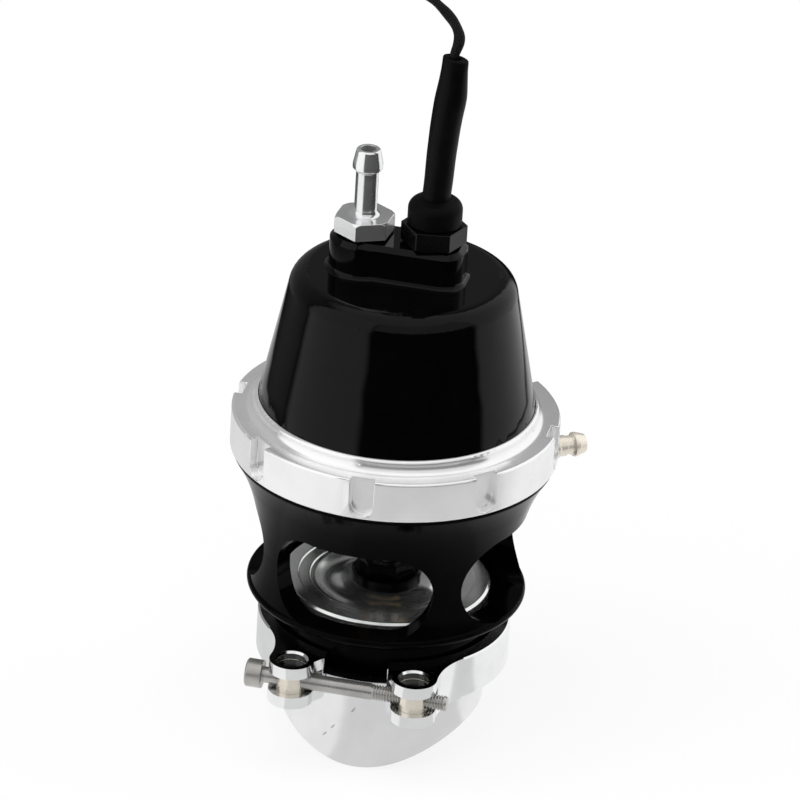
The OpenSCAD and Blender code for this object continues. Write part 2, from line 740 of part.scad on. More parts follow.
// top nipple: hexagon, blended stem and a single barb, bored through
module top_nipple() {
    stem = 2.75;
    crest = 3.65;
    crest_z = nipple_h - 4.8;
    color("silver") translate([-nipple_x, 0, nipple_base]) difference() {
        union() {
            translate([0, 0, -8]) cylinder(r = port_r, h = 8.5);
            rotate([0, 0, 26]) intersection() {
                hexagon(nipple_hex, 4.4);
                cylinder(r1 = nipple_hex / 2 + 4.6, r2 = nipple_hex / 2 + 0.4, h = 4.4);
            }
            translate([0, 0, 4.4]) rotate_extrude() difference() {
                polygon([
                    [0, -0.2], [stem + 1.4, -0.2], [stem + 1.4, 1.4], [stem, 1.4], [stem, crest_z - 1],
                    [crest - 0.2, crest_z - 0.4], [crest, crest_z - 0.1], [crest, crest_z + 0.9],
                    [stem + 0.2, nipple_h - 0.3], [stem - 0.1, nipple_h], [0, nipple_h]
                ]);
                translate([stem + 1.4, 1.4]) circle(r = 1.4);
            }
        }
        translate([0, 0, -9]) cylinder(d = nipple_bore, h = nipple_h + 20);
    }
}

// side nipple: screwed into the bowl, with a base ring, a barrel and a barb
module side_nipple() {
    tip = side_tip;
    low = side_seat - 5.2;
    color("wheat") rotate([0, 0, side_turn - 90]) translate([0, 0, side_z]) rotate([0, 90, 0])
        rotate_extrude() polygon([
            [1.3, low], [side_thread_r, low], [side_thread_r, side_seat], [side_base_r, side_seat],
            [side_base_r, tip - 7.4], [2.6, tip - 7], [2.6, tip - 5.2], [2.35, tip - 5], [2.35, tip - 3.6],
            [2.75, tip - 3.2], [3.05, tip - 3], [3.05, tip - 2.4], [2.3, tip], [1.3, tip]
        ]);
}

module sensor_washer() {
    color("black") translate([sensor_x, 0, block_top])
        ring(sensor_hex / 2 - 0.6, barrel_thread_r + run, 0.6);
}

// sensor: hexagon on the block, threaded barrel in it and a slim probe over the magnet
module sensor() {
    color([0.12, 0.12, 0.12]) translate([sensor_x, 0, 0]) {
        translate([0, 0, sensor_base]) rotate([0, 0, 10]) hexagon(sensor_hex, sensor_hex_h);
        translate([0, 0, ceiling_z - 3]) cylinder(r = barrel_thread_r, h = sensor_base - ceiling_z + 3);
        translate([0, 0, probe_low]) cylinder(r = barrel_thread_r - 1, h = ceiling_z - 3 - probe_low);
    }
}

// boot: round rubber cap with a domed shoulder
module sensor_boot() {
    r = boot_d / 2;
    color([0.1, 0.1, 0.1]) translate([sensor_x, 0, boot_z]) rotate_extrude() union() {
        polygon([[0, 0], [r - 0.5, 0], [r, 0.5], [r, boot_h - 2], [r - 2, boot_h], [0, boot_h]]);
        intersection() {
            translate([r - 2, boot_h - 2]) circle(r = 2);
            translate([r - 2, boot_h - 2]) square(2);
        }
    }
}

// heat shrink sleeve: leans to the right, swells over the splice and ends in a slanted cut
module heat_shrink() {
    r = sleeve_r;
    l = sleeve_l;
    wide = 6 * r;
    color([0.08, 0.08, 0.08]) difference() {
        translate([sensor_x, 0, sleeve_z]) rotate([0, sleeve_lean, 0]) difference() {
            rotate_extrude() polygon([
                [0, -r / 2], [r, -r / 2], [r, 0.21 * l], [0.97 * r, 0.47 * l], [r, 0.57 * l],
                [1.1 * r, 0.68 * l], [1.11 * r, 0.755 * l], [r, 0.85 * l], [0.83 * r, l + r], [0, l + r]
            ]);
            translate([0, 0, l]) rotate([0, -12, 0]) translate([-wide / 2, -wide / 2, 0]) cube(wide);
        }
        translate([sensor_x, 0, sleeve_z - r]) cylinder(r = wide / 2, h = r);
        translate([0, 0, -0.01]) sleeve_mouth();
    }
}

// hollow at the sleeve's end, where the lead comes out
module sleeve_mouth() {
    translate(lead_route[0]) rotate([0, 14, 0]) cylinder(r = lead_d / 2 + 0.1, h = 6);
}

module sensor_lead() {
    color([0.06, 0.06, 0.06]) swept(lead_route, lead_d / 2, 8, [1, 0, 0]);
}

// connector: plain shell with a collar, hanging on the lead's end
module lead_connector() {
    tail = lead_route[len(lead_route) - 1];
    color([0.15, 0.15, 0.15]) translate(tail) mirror([0, 0, 1]) {
        cylinder(r1 = 2, r2 = 3, h = 5);
        translate([0, 0, 5]) cylinder(r = 3.6, h = 4);
        translate([0, 0, 9]) difference() {
            cylinder(r = 4.4, h = 11);
            translate([0, 0, 4]) cylinder(r = 3.4, h = 8);
        }
        for (turn = [0 : 120 : 240]) rotate([0, 0, turn]) translate([1.7, 0, 12.9])
            cylinder(r = 0.5, h = 5);
    }
}

weld_flange();
joint_ring();
clamp_right();
clamp_left();
hinge_pin();
plain_barrel();
threaded_barrel();
clamp_screw();
body();
guide_bush();
stem_seal();
valve_disc();
seat_ring();
disc_hub();
disc_nut();
valve_stem();
lower_plate();
upper_plate();
stem_nut();
magnet();
diaphragm();
spring();
collar();
cap();
nipple_washer();
top_nipple();
side_nipple();
sensor_washer();
sensor();
sensor_boot();
heat_shrink();
sensor_lead();
lead_connector();
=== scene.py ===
"""Looks of a blow off valve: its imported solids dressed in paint, metal and rubber, in a plain studio.

Sizes in the classes are millimetres, as on a drawing. Meshes are in metres, in the frame of the solids.
"""

import json
import logging
import math
from dataclasses import dataclass, replace
from enum import Enum
from typing import Callable, Mapping, Optional, Sequence, Union

import bpy
import numpy as np
from mathutils import Matrix, Vector


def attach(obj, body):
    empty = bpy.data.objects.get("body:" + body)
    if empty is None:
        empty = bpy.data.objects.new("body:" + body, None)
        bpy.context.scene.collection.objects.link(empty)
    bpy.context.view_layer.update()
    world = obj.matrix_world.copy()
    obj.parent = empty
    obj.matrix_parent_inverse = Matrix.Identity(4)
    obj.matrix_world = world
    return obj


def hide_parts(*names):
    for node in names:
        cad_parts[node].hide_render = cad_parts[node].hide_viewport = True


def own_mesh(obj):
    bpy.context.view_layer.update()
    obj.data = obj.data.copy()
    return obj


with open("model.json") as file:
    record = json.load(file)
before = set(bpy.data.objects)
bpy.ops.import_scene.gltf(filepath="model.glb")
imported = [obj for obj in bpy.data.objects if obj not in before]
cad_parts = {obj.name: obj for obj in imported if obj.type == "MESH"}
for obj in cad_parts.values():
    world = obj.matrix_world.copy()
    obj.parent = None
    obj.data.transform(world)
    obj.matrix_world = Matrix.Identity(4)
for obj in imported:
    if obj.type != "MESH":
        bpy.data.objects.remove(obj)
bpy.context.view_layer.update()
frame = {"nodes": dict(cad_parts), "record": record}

Socket = bpy.types.NodeSocket
Inputs = Mapping[Union[str, int], object]
Pair = tuple[float, float]
Triple = tuple[float, float, float]

LOG = logging.getLogger("blow_off_valve")
TAU = 2 * math.pi
UP = (0.0, 0.0, 1.0)
MM = 0.001
MICRONS = 1e6  # micrometres in a metre
TINY = 1e-6  # lengths below this many millimetres count as none
JOINT_Z = 16.2  # height of the V joint's face

# Creases in degrees: edges that bend more stay sharp
SOLID_CREASE = 28.0
SKIN_CREASE = 40.0
TURNED_CREASE = 50.0

# Noise that all finishes share
PATCH_SCALE = 140.0  # patches to a metre
PATCH_DETAIL = 4.0
PATCH_RANGE = (0.35, 0.75)  # noise at which the shade starts and is full
PATCH_SHARE = 0.6  # of the patches in the roughness; the rest follows the fine structure
ROUGH_RANGE = (0.3, 0.7)  # mixed noise at the lowest and the highest roughness
ACROSS_RINGS = 0.25  # turn of a brushed highlight, which draws it out across the tool's rings

# Nicks: streaks that lie aslant
NICK_SIZE = (0.36, 1.5, 1.3)  # half sizes in millimetres
NICK_TURN = 35.0  # degrees about Y
NICK_RAGGED = (2600.0, 2.0)  # scale and detail of the noise along the edge
NICK_RANGE = (0.95, 1.3)  # ragged distance at which a nick is full and ends
NICK_SHARE = 0.5
NICK_COLOUR = (0.12, 0.12, 0.12, 1.0)

# Painted shade on the barrels' ends: faces that look up or down are darkened
END_SHADE_RANGE = (0.6, 0.85)  # upright part of the normal at which the painted shade starts and is full
END_SHADE_COLOUR = (0.012, 0.011, 0.010, 1.0)

# Braid of the lead
STRANDS = 8
STRAND_TURNS = 1.5  # turns in one diameter of its length
STRAND_LOW = -0.4  # height at which the gaps between the strands are deepest


class Grain(Enum):
    """Fine structure of a finish."""

    TURNED = "turned"
    PEEL = "peel"
    SATIN = "satin"
    RUBBER = "rubber"
    BRAID = "braid"


GRAIN_DETAIL = {Grain.TURNED: 2.0, Grain.PEEL: 2.0, Grain.SATIN: 5.0, Grain.RUBBER: 5.0}


@dataclass(frozen=True)
class Finish:
    """One surface finish, which becomes one material.

    Attributes:
        slot: the record's material slot.
        colour: linear colour of most of the surface.
        shade: linear colour in its patches.
        metal: metalness.
        rough: lowest and highest roughness.
        grain: fine structure.
        pitch: size of the fine structure in millimetres.
        depth: height of the fine structure in millimetres.
        specular: specular level.
        brushed: how far the tool's rings draw a highlight out across them.
        axis: point in millimetres that a turned finish is centred on.
        nicks: points in millimetres where the surface is nicked.
        painted_shade_ends: whether faces that look up or down are darkened with painted shade.
        label: the material's name where several finishes share a slot.
    """

    slot: str
    colour: Triple
    shade: Triple
    metal: float
    rough: Pair
    grain: Grain
    pitch: float
    depth: float
    specular: float = 0.5
    brushed: float = 0.0
    axis: Triple = (0.0, 0.0, 0.0)
    nicks: tuple[Triple, ...] = ()
    painted_shade_ends: bool = False
    label: str = ""

    def material(self) -> bpy.types.Material:
        """Builds the material, or returns it where it already exists.

        Returns:
            A node material whose colour, roughness and relief vary over the surface.
        """
        name = f"{self.label or self.slot}_look"
        found = bpy.data.materials.get(name)
        if found is not None:
            return found
        material = bpy.data.materials.new(name)
        material.use_nodes = True
        bench = NodeBench(material.node_tree)
        place = self.place(bench)
        patches = bench.noise(place, PATCH_SCALE, PATCH_DETAIL)
        fine = self.fine(bench, place)
        shaded = bench.spread(patches, *PATCH_RANGE)
        tint = bench.mix(shaded, (*self.colour, 1.0), (*self.shade, 1.0))
        coarse_part = bench.math("MULTIPLY", patches, PATCH_SHARE)
        fine_part = bench.math("MULTIPLY", fine, 1.0 - PATCH_SHARE)
        blend = bench.math("ADD", coarse_part, fine_part)
        relief = bench.add("ShaderNodeBump", {"Strength": 1.0, "Distance": self.depth * MM, "Height": fine})
        looks = {
            "Metallic": self.metal,
            "Specular IOR Level": self.specular,
            "Base Color": self.darkened(bench, place, tint),
            "Roughness": bench.spread(blend, *ROUGH_RANGE, *self.rough),
            "Normal": relief.outputs["Normal"],
        }
        if self.brushed:
            looks["Tangent"] = bench.vector("CROSS_PRODUCT", UP, place)
            looks["Anisotropic"] = self.brushed
            looks["Anisotropic Rotation"] = ACROSS_RINGS
        bench.fill(material.node_tree.nodes["Principled BSDF"], looks)
        return material

    def darkened(self, bench: "NodeBench", place: Socket, colour: Socket) -> Socket:
        """Darkens the colour at the nicks, and paints shade on faces that look up or down.

        Args:
            bench: the material's node helper.
            place: coordinates of the surface.
            colour: the plain colour.

        Returns:
            The colour with nicks and painted shade.
        """
        for nick in self.nicks:
            sizes = {
                "Location": [MM * x for x in nick],
                "Rotation": (0.0, math.radians(NICK_TURN), 0.0),
                "Scale": [MM * x for x in NICK_SIZE],
                "Vector": place,
            }
            near = bench.add("ShaderNodeMapping", sizes, vector_type="TEXTURE").outputs["Vector"]
            ragged = bench.math("ADD", bench.vector("LENGTH", near), bench.noise(place, *NICK_RAGGED))
            colour = bench.mix(bench.spread(ragged, *NICK_RANGE, NICK_SHARE, 0.0), colour, NICK_COLOUR)
        # Painted shade: faces that look up or down, such as the barrels' ends, are darkened.
        if self.painted_shade_ends:
            upright = bench.parts(bench.add("ShaderNodeTexCoord").outputs["Normal"])[2]
            end_shade = bench.spread(bench.math("ABSOLUTE", upright), *END_SHADE_RANGE)
            colour = bench.mix(end_shade, colour, END_SHADE_COLOUR)
        return colour

    def place(self, bench: "NodeBench") -> Socket:
        """Coordinates of the surface, moved so that a turned finish runs about Z.

        Args:
            bench: the material's node helper.

        Returns:
            A vector socket in metres.
        """
        place = bench.add("ShaderNodeTexCoord").outputs["Object"]
        centre = {"Location": [MM * x for x in self.axis], "Vector": place}
        return bench.add("ShaderNodeMapping", centre, vector_type="TEXTURE").outputs["Vector"]

    def fine(self, bench: "NodeBench", place: Socket) -> Socket:
        """The fine structure: rings of the tool, peel of paint, grain or strands.

        The tool's rings are noise over the distance from the axis, sqrt(x^2 + y^2), and the height.

        Args:
            bench: the material's node helper.
            place: coordinates of the surface.

        Returns:
            A height between 0 and 1.
        """
        if self.grain is Grain.BRAID:
            return self.strands(bench)
        if self.grain is Grain.TURNED:
            x, y, z = bench.parts(place)
            squares = bench.math("ADD", bench.math("MULTIPLY", x, x), bench.math("MULTIPLY", y, y))
            place = bench.join(bench.math("SQRT", squares), z)
        return bench.noise(place, 1.0 / MM / self.pitch, GRAIN_DETAIL[self.grain])

    def strands(self, bench: "NodeBench") -> Socket:
        """Two sets of strands that wind opposite ways, the higher one showing.

        The height is the larger of sin(p + q) and sin(p - q), where p grows round the lead and q along it.

        Args:
            bench: the material's node helper.

        Returns:
            A height between 0 and 1 from the piece's own UV map: u goes round, v along in diameters.
        """
        u, v, _ = bench.parts(bench.add("ShaderNodeUVMap").outputs[0])
        around = bench.math("MULTIPLY", u, STRANDS * TAU)
        along = bench.math("MULTIPLY", v, STRAND_TURNS * TAU)
        right, left = (
            bench.math("SINE", bench.math(operation, around, along)) for operation in ("ADD", "SUBTRACT")
        )
        return bench.spread(bench.math("MAXIMUM", right, left), STRAND_LOW, 1.0)


@dataclass
class NodeBench:
    """Adds nodes to one tree and links them.

    Attributes:
        tree: the tree that the nodes go into.
    """

    tree: bpy.types.NodeTree

    def add(self, kind: str, values: Optional[Inputs] = None, **settings: object) -> bpy.types.Node:
        """Adds a node.

        Args:
            kind: the node's type.
            values: what its inputs get, by their names or numbers, or nothing.
            settings: attributes to set on it.

        Returns:
            The new node.
        """
        node = self.tree.nodes.new(kind)
        for name, setting in settings.items():
            setattr(node, name, setting)
        self.fill(node, values or {})
        return node

    def fill(self, node: bpy.types.Node, values: Inputs) -> None:
        """Links outputs to a node's inputs, or sets an input where its value is no output.

        Args:
            node: a node of the tree.
            values: what its inputs get, by their names or numbers.
        """
        for key, value in values.items():
            if isinstance(value, Socket):
                self.tree.links.new(value, node.inputs[key])
            else:
                node.inputs[key].default_value = value

    def math(self, operation: str, *values: object) -> Socket:
        """Adds a Math node and returns its output."""
        return self.add("ShaderNodeMath", dict(enumerate(values)), operation=operation).outputs[0]

    def vector(self, operation: str, *values: object) -> Socket:
        """Adds a Vector Math node and returns its output, a number for a length or a dot product."""
        node = self.add("ShaderNodeVectorMath", dict(enumerate(values)), operation=operation)
        return node.outputs["Value" if operation in ("LENGTH", "DOT_PRODUCT") else "Vector"]

    def parts(self, vector: Socket) -> Sequence[Socket]:
        """Adds a Separate XYZ node and returns its three outputs."""
        return self.add("ShaderNodeSeparateXYZ", {0: vector}).outputs

    def join(self, x: Socket, y: Socket) -> Socket:
        """Adds a Combine XYZ node and returns the vector (x, y, 0)."""
        return self.add("ShaderNodeCombineXYZ", {0: x, 1: y}).outputs[0]

    def level(self, vector: Socket) -> Socket:
        """Takes the height out of a vector and returns the unit vector that is left."""
        x, y, _ = self.parts(vector)
        return self.vector("NORMALIZE", self.join(x, y))

    def mix(self, share: Socket, first: object, second: object) -> Socket:
        """Adds a Mix node for two colours and returns the mixed one, the second where the share is 1."""
        colours = {0: share, 6: first, 7: second}
        return self.add("ShaderNodeMix", colours, data_type="RGBA").outputs[2]

    def noise(self, place: Socket, scale: float, detail: float) -> Socket:
        """Adds a Noise node and returns its value, about 0 to 1."""
        values = {"Vector": place, "Scale": scale, "Detail": detail}
        return self.add("ShaderNodeTexNoise", values).outputs[0]

    def spread(
        self, value: Socket, low: float, high: float, to_low: float = 0.0, to_high: float = 1.0
    ) -> Socket:
        """Maps a range smoothly to another one.

        Args:
            value: the output to map.
            low: start of its range.
            high: end of its range.
            to_low: what the start becomes.
            to_high: what the end becomes.

        Returns:
            The mapped value.
        """
        values = dict(enumerate((value, low, high, to_low, to_high)))
        return self.add("ShaderNodeMapRange", values, interpolation_type="SMOOTHSTEP").outputs[0]

    def rays(self) -> tuple[Socket, Socket]:
        """Tells rays apart by a Light Path node.

        Returns:
            1 on rays that come straight or through glass from the camera, and 1 on mirrored ones.
        """
        path = self.add("ShaderNodeLightPath").outputs
        seen = self.math("MAXIMUM", path["Is Camera Ray"], path["Is Transmission Ray"])
        return seen, path["Is Glossy Ray"]


GLOSS_BLACK = Finish(
    "gloss_black", (0.0008, 0.0008, 0.0009), (0.0013, 0.0013, 0.0014),
    metal=0.0, rough=(0.05, 0.09), grain=Grain.PEEL, pitch=2.2, depth=0.0012, specular=0.155,
)
SATIN_BLACK = Finish(
    "satin_black", (0.0008, 0.0008, 0.0009), (0.0014, 0.0014, 0.0015),
    metal=0.0, rough=(0.09, 0.16), grain=Grain.SATIN, pitch=0.35, depth=0.001, specular=0.03,
)
COLLAR_BRIGHT = Finish(
    "polished_aluminium", (0.93, 0.93, 0.93), (0.89, 0.89, 0.89),
    metal=0.72, rough=(0.15, 0.21), grain=Grain.TURNED, pitch=0.5, depth=0.0, brushed=0.75,
)
CLAMP_BRIGHT = Finish(
    "polished_aluminium", (0.90, 0.905, 0.91), (0.84, 0.845, 0.85),
    metal=1.0, rough=(0.08, 0.16), grain=Grain.SATIN, pitch=0.9, depth=0.002, label="clamp_bright",
)
NIPPLE_BRIGHT = replace(
    CLAMP_BRIGHT, metal=0.9, rough=(0.12, 0.2), grain=Grain.TURNED, pitch=0.5, depth=0.0003,
    axis=(-10.5, 0.0, 0.0), label="nipple_bright",
)
TUBE_BRIGHT = Finish(
    "bright_tube", (0.87, 0.87, 0.88), (0.83, 0.83, 0.84),
    metal=0.85, rough=(0.16, 0.24), grain=Grain.TURNED, pitch=0.6, depth=0.0004,
    nicks=((-0.94, -25.38, 6.1), (-5.94, -24.7, 0.3), (-8.02, -24.1, -2.4)),
)
DISC_TURNED = Finish(
    "turned_aluminium", (0.88, 0.90, 0.88), (0.80, 0.82, 0.80),
    metal=0.95, rough=(0.16, 0.28), grain=Grain.TURNED, pitch=1.1, depth=0.006, brushed=0.8,
)
WARM_NICKEL = Finish(
    "warm_nickel", (0.93, 0.86, 0.76), (0.84, 0.77, 0.66),
    metal=0.45, rough=(0.2, 0.3), grain=Grain.SATIN, pitch=0.6, depth=0.0015,
)
# The barrels' ends get painted shade: faces that look up or down are darkened.
BARREL_NICKEL = Finish(
    "warm_nickel", (0.86, 0.80, 0.70), (0.78, 0.72, 0.61),
    metal=0.8, rough=(0.2, 0.32), grain=Grain.SATIN, pitch=0.6, depth=0.002,
    painted_shade_ends=True, label="barrel_nickel",
)
PLATED_STEEL = Finish(
    "plated_steel", (0.55, 0.54, 0.52), (0.43, 0.42, 0.40),
    metal=0.85, rough=(0.24, 0.36), grain=Grain.SATIN, pitch=0.5, depth=0.004,
)
GROUND_STEEL = Finish(
    "ground_steel", (0.62, 0.62, 0.63), (0.52, 0.52, 0.53),
    metal=1.0, rough=(0.18, 0.28), grain=Grain.TURNED, pitch=0.3, depth=0.002,
)
BLACK_ANODISED = Finish(
    "black_anodised", (0.001, 0.001, 0.0011), (0.0018, 0.0018, 0.0019),
    metal=0.0, rough=(0.2, 0.3), grain=Grain.SATIN, pitch=0.3, depth=0.0015, specular=0.08,
)
SENSOR_ANODISED = replace(BLACK_ANODISED, specular=0.28, label="sensor_anodised")
BLACK_RUBBER = Finish(
    "black_rubber", (0.0012, 0.0012, 0.0012), (0.002, 0.002, 0.0019),
    metal=0.0, rough=(0.4, 0.55), grain=Grain.RUBBER, pitch=0.4, depth=0.005, specular=0.06,
)
BROWN_RUBBER = Finish(
    "brown_rubber", (0.16, 0.07, 0.035), (0.11, 0.05, 0.025),
    metal=0.0, rough=(0.55, 0.7), grain=Grain.RUBBER, pitch=0.7, depth=0.02, specular=0.3,
)
BRONZE = Finish(
    "bronze", (0.62, 0.40, 0.20), (0.5, 0.31, 0.15),
    metal=1.0, rough=(0.25, 0.4), grain=Grain.TURNED, pitch=0.4, depth=0.003,
)
MAGNET_DARK = Finish(
    "magnet_dark", (0.10, 0.10, 0.11), (0.07, 0.07, 0.08),
    metal=0.7, rough=(0.3, 0.45), grain=Grain.SATIN, pitch=0.5, depth=0.004,
)
SHRINK_SLEEVE = Finish(
    "shrink_sleeve", (0.0014, 0.0014, 0.0016), (0.0024, 0.0024, 0.0026),
    metal=0.0, rough=(0.38, 0.5), grain=Grain.RUBBER, pitch=0.8, depth=0.006, specular=0.09,
)
LEAD_BRAID = Finish(
    "lead_braid", (0.0014, 0.0014, 0.0015), (0.0026, 0.0026, 0.0027),
    metal=0.0, rough=(0.45, 0.6), grain=Grain.BRAID, pitch=0.6, depth=0.12, specular=0.2,
)


def arc(centre: Pair, radius: float, start: float, end: float, steps: int = 9) -> np.ndarray:
    """Points on a circle's arc: centre + radius (cos t, sin t), with t from start to end in degrees.

    Args:
        centre: middle of the circle.
        radius: its radius.
        start: first angle.
        end: last angle.
        steps: how many points.

    Returns:
        Points, steps by 2.
    """
    t = np.radians(np.linspace(start, end, steps))
    return np.stack([centre[0] + radius * np.cos(t), centre[1] + radius * np.sin(t)], axis=1)


def rounded(profile: Sequence[Sequence[float]], radius: float, closed: bool, steps: int = 5) -> np.ndarray:
    """Rounds a profile's corners with quadratic curves between points near each corner on its two sides.

    Each curve is (1-t)^2 a + 2t(1-t) p + t^2 b, and a holding point stands before and after it, so that the
    flat stretches stay flat when the surface is shaded smooth.

    Args:
        profile: corners, n by 2.
        radius: distance from a corner at which its curve starts.
        closed: whether the last corner is joined to the first.
        steps: points on each curve.

    Returns:
        The rounded profile, without doubled points.
    """
    p = np.asarray(profile, float)
    curve_most, hold_far, hold_most = 0.44, 1.5, 0.5

    def on_side(other: np.ndarray, reach: float, most: float) -> np.ndarray:
        """Points on the way from each corner to its neighbour.

        Args:
            other: the corners' neighbours.
            reach: distance from the corner.
            most: the largest share of the way.

        Returns:
            A point for each corner.
        """
        side = other - p
        length = np.maximum(np.linalg.norm(side, axis=1, keepdims=True), TINY)
        return p + side * np.minimum(reach / length, most)

    sides = np.roll(p, 1, axis=0), np.roll(p, -1, axis=0)
    a, b = (on_side(side, radius, curve_most) for side in sides)
    hold_a, hold_b = (on_side(side, hold_far * radius, hold_most) for side in sides)
    t = np.linspace(0, 1, steps)[None, :, None]
    curve = (1 - t) ** 2 * a[:, None] + 2 * t * (1 - t) * p[:, None] + t**2 * b[:, None]
    rows = np.concatenate([hold_a[:, None], curve, hold_b[:, None]], axis=1)
    if not closed:
        rows[0] = p[0]
        rows[-1] = p[-1]
    line = rows.reshape(-1, 2)
    step = np.linalg.norm(np.diff(line, axis=0), axis=1)
    return line[np.concatenate([[True], step > TINY])]


def turned(profile: np.ndarray, columns: int) -> np.ndarray:
    """Turns a profile about Z: point (i, j) is (r_i cos a_j, r_i sin a_j, z_i), a_j going once round.

    Args:
        profile: radius and height, rows by 2.
        columns: points round the axis.

    Returns:
        Points, rows by columns by 3.
    """
    a = np.linspace(0, TAU, columns, endpoint=False)[None, :]
    r, z = profile[:, :1], profile[:, 1:]
    return np.stack([r * np.cos(a), r * np.sin(a), z + 0 * a], axis=-1)


def swept(path: np.ndarray, radius: np.ndarray, aside: Triple, columns: int) -> np.ndarray:
    """A round tube along a path: point (i, j) is p_i + r_i (cos a_j u_i + sin a_j v_i).

    u is the path's direction crossed with a fixed direction that it never runs in, and v completes the frame.

    Args:
        path: points, rows by 3.
        radius: radius, one row for each point and one column for each step round the tube, or a single one.
        aside: the fixed direction.
        columns: points round the tube.

    Returns:
        Points, rows by columns by 3.
    """
    along = np.gradient(path, axis=0)
    along /= np.linalg.norm(along, axis=1, keepdims=True)
    u = np.cross(along, np.asarray(aside, float))
    u /= np.linalg.norm(u, axis=1, keepdims=True)
    v = np.cross(along, u)
    a = np.linspace(0, TAU, columns, endpoint=False)[None, :, None]
    ring = np.cos(a) * u[:, None] + np.sin(a) * v[:, None]
    return path[:, None] + np.broadcast_to(radius, ring.shape[:2])[..., None] * ring


def smooth_path(points: Sequence[Sequence[float]], per_span: int) -> np.ndarray:
    """A smooth curve through points: on each span the cubic with the neighbours' slopes (Catmull-Rom).

    Args:
        points: points that the curve passes, n by 3.
        per_span: points on each span.

    Returns:
        Points on the curve.
    """
    p = np.asarray(points, float)
    ext = np.concatenate([[2 * p[0] - p[1]], p, [2 * p[-1] - p[-2]]])
    p0, p1, p2, p3 = ext[:-3, None], ext[1:-2, None], ext[2:-1, None], ext[3:, None]
    t = np.linspace(0, 1, per_span, endpoint=False)[None, :, None]
    square, cube = 2 * p0 - 5 * p1 + 4 * p2 - p3, 3 * p1 - p0 - 3 * p2 + p3
    line = 0.5 * (2 * p1 + (p2 - p0) * t + square * t**2 + cube * t**3)
    return np.concatenate([line.reshape(-1, 3), p[-1:]])


@dataclass
class Skin:
    """A surface on a grid of two parameters, closed round its columns.

    Attributes:
        points: rows by columns by 3, in millimetres.
        loop: whether the last row joins the first one; otherwise both end rows are closed by fans.
        v: position of each row along the surface, for the UV map, or nothing.
    """

    points: np.ndarray
    loop: bool = False
    v: Optional[np.ndarray] = None

    def faces(self) -> tuple[np.ndarray, np.ndarray]:
        """Quads of the grid and triangles of its end fans, pointing outwards.

        Returns:
            Quads, n by 4, and triangles, m by 3; the fans' middles are the two points after the grid's own.
        """
        rows, columns = self.points.shape[:2]
        index = np.arange(rows * columns).reshape(rows, columns)
        right = np.roll(index, -1, axis=1)
        below, above = (index, np.roll(index, -1, axis=0)) if self.loop else (index[:-1], index[1:])
        below_r, above_r = (right, np.roll(right, -1, axis=0)) if self.loop else (right[:-1], right[1:])
        quads = np.stack([below, below_r, above_r, above], axis=-1).reshape(-1, 4)
        if self.loop:
            fans = np.empty((0, 3), int)
        else:
            first, last = rows * columns, rows * columns + 1
            low = np.stack([right[0], index[0], np.full(columns, first)], axis=-1)
            high = np.stack([index[-1], right[-1], np.full(columns, last)], axis=-1)
            fans = np.concatenate([low, high])
        flat = self.vertices()
        corners = flat[quads]
        halves = np.concatenate([corners[:, [0, 1, 2]], corners[:, [0, 2, 3]], flat[fans]])
        volume = np.einsum("ij,ij->", halves[:, 0], np.cross(halves[:, 1], halves[:, 2]))
        return (quads[:, ::-1], fans[:, ::-1]) if volume < 0 else (quads, fans)

    def vertices(self) -> np.ndarray:
        """Lists the surface's points.

        Returns:
            The grid's points, and after them the middles of the end rows where fans close them.
        """
        flat = self.points.reshape(-1, 3)
        if self.loop:
            return flat
        return np.concatenate([flat, [self.points[0].mean(axis=0), self.points[-1].mean(axis=0)]])


def read_array(items: bpy.types.bpy_prop_collection, name: str, kind: type, width: int = 1) -> np.ndarray:
    """Reads one property of a mesh's points, edges, faces or corners.

    Args:
        items: the mesh's points, edges, faces or corners.
        name: the property.
        kind: type of its numbers.
        width: how many numbers each item has.

    Returns:
        The numbers, items by width, or one row of them where the width is 1.
    """
    values = np.empty(len(items) * width, kind)
    items.foreach_get(name, values)
    return values.reshape(-1, width) if width > 1 else values


def new_piece(name: str, points: np.ndarray, faces: list[list[int]], crease: float) -> bpy.types.Object:
    """Makes an object of points and faces, shaded smooth up to a crease angle.

    Args:
        name: the object's name.
        points: its points in metres.
        faces: the points of each face.
        crease: edges that bend more than this many degrees stay sharp.

    Returns:
        The object, at the origin, with its place in its mesh.
    """
    mesh = bpy.data.meshes.new(name)
    mesh.from_pydata(points.tolist(), [], faces)
    mesh.validate()
    mesh.polygons.foreach_set("use_smooth", np.ones(len(mesh.polygons), bool))
    mesh.set_sharp_from_angle(angle=math.radians(crease))
    mesh.update()
    piece = bpy.data.objects.new(name, mesh)
    bpy.context.scene.collection.objects.link(piece)
    return piece


def wrap_uv(mesh: bpy.types.Mesh, skin: Skin) -> None:
    """Gives a skin's mesh a UV map: u is the share of a turn, v the row's position, with no step at the seam.

    Args:
        mesh: the skin's mesh.
        skin: the skin, with its rows' positions.
    """
    rows, columns = skin.points.shape[:2]
    index = read_array(mesh.loops, "vertex_index", np.int64)
    starts = read_array(mesh.polygons, "loop_start", np.int64)
    totals = read_array(mesh.polygons, "loop_total", np.int64)
    on_grid = index < rows * columns
    u = np.where(on_grid, (index % columns) / columns, 0.0)
    row = np.where(on_grid, index // columns, np.where(index == rows * columns, 0, rows - 1))
    highest = np.repeat(np.maximum.reduceat(u, starts), totals)
    last_quarter, first_quarter = highest > 0.75, u < 0.25
    u = np.where(last_quarter & first_quarter, u + 1.0, u)
    layer = mesh.uv_layers.new(name="wrap")
    layer.data.foreach_set("uv", np.stack([u, skin.v[row]], axis=1).astype(np.float32).ravel())


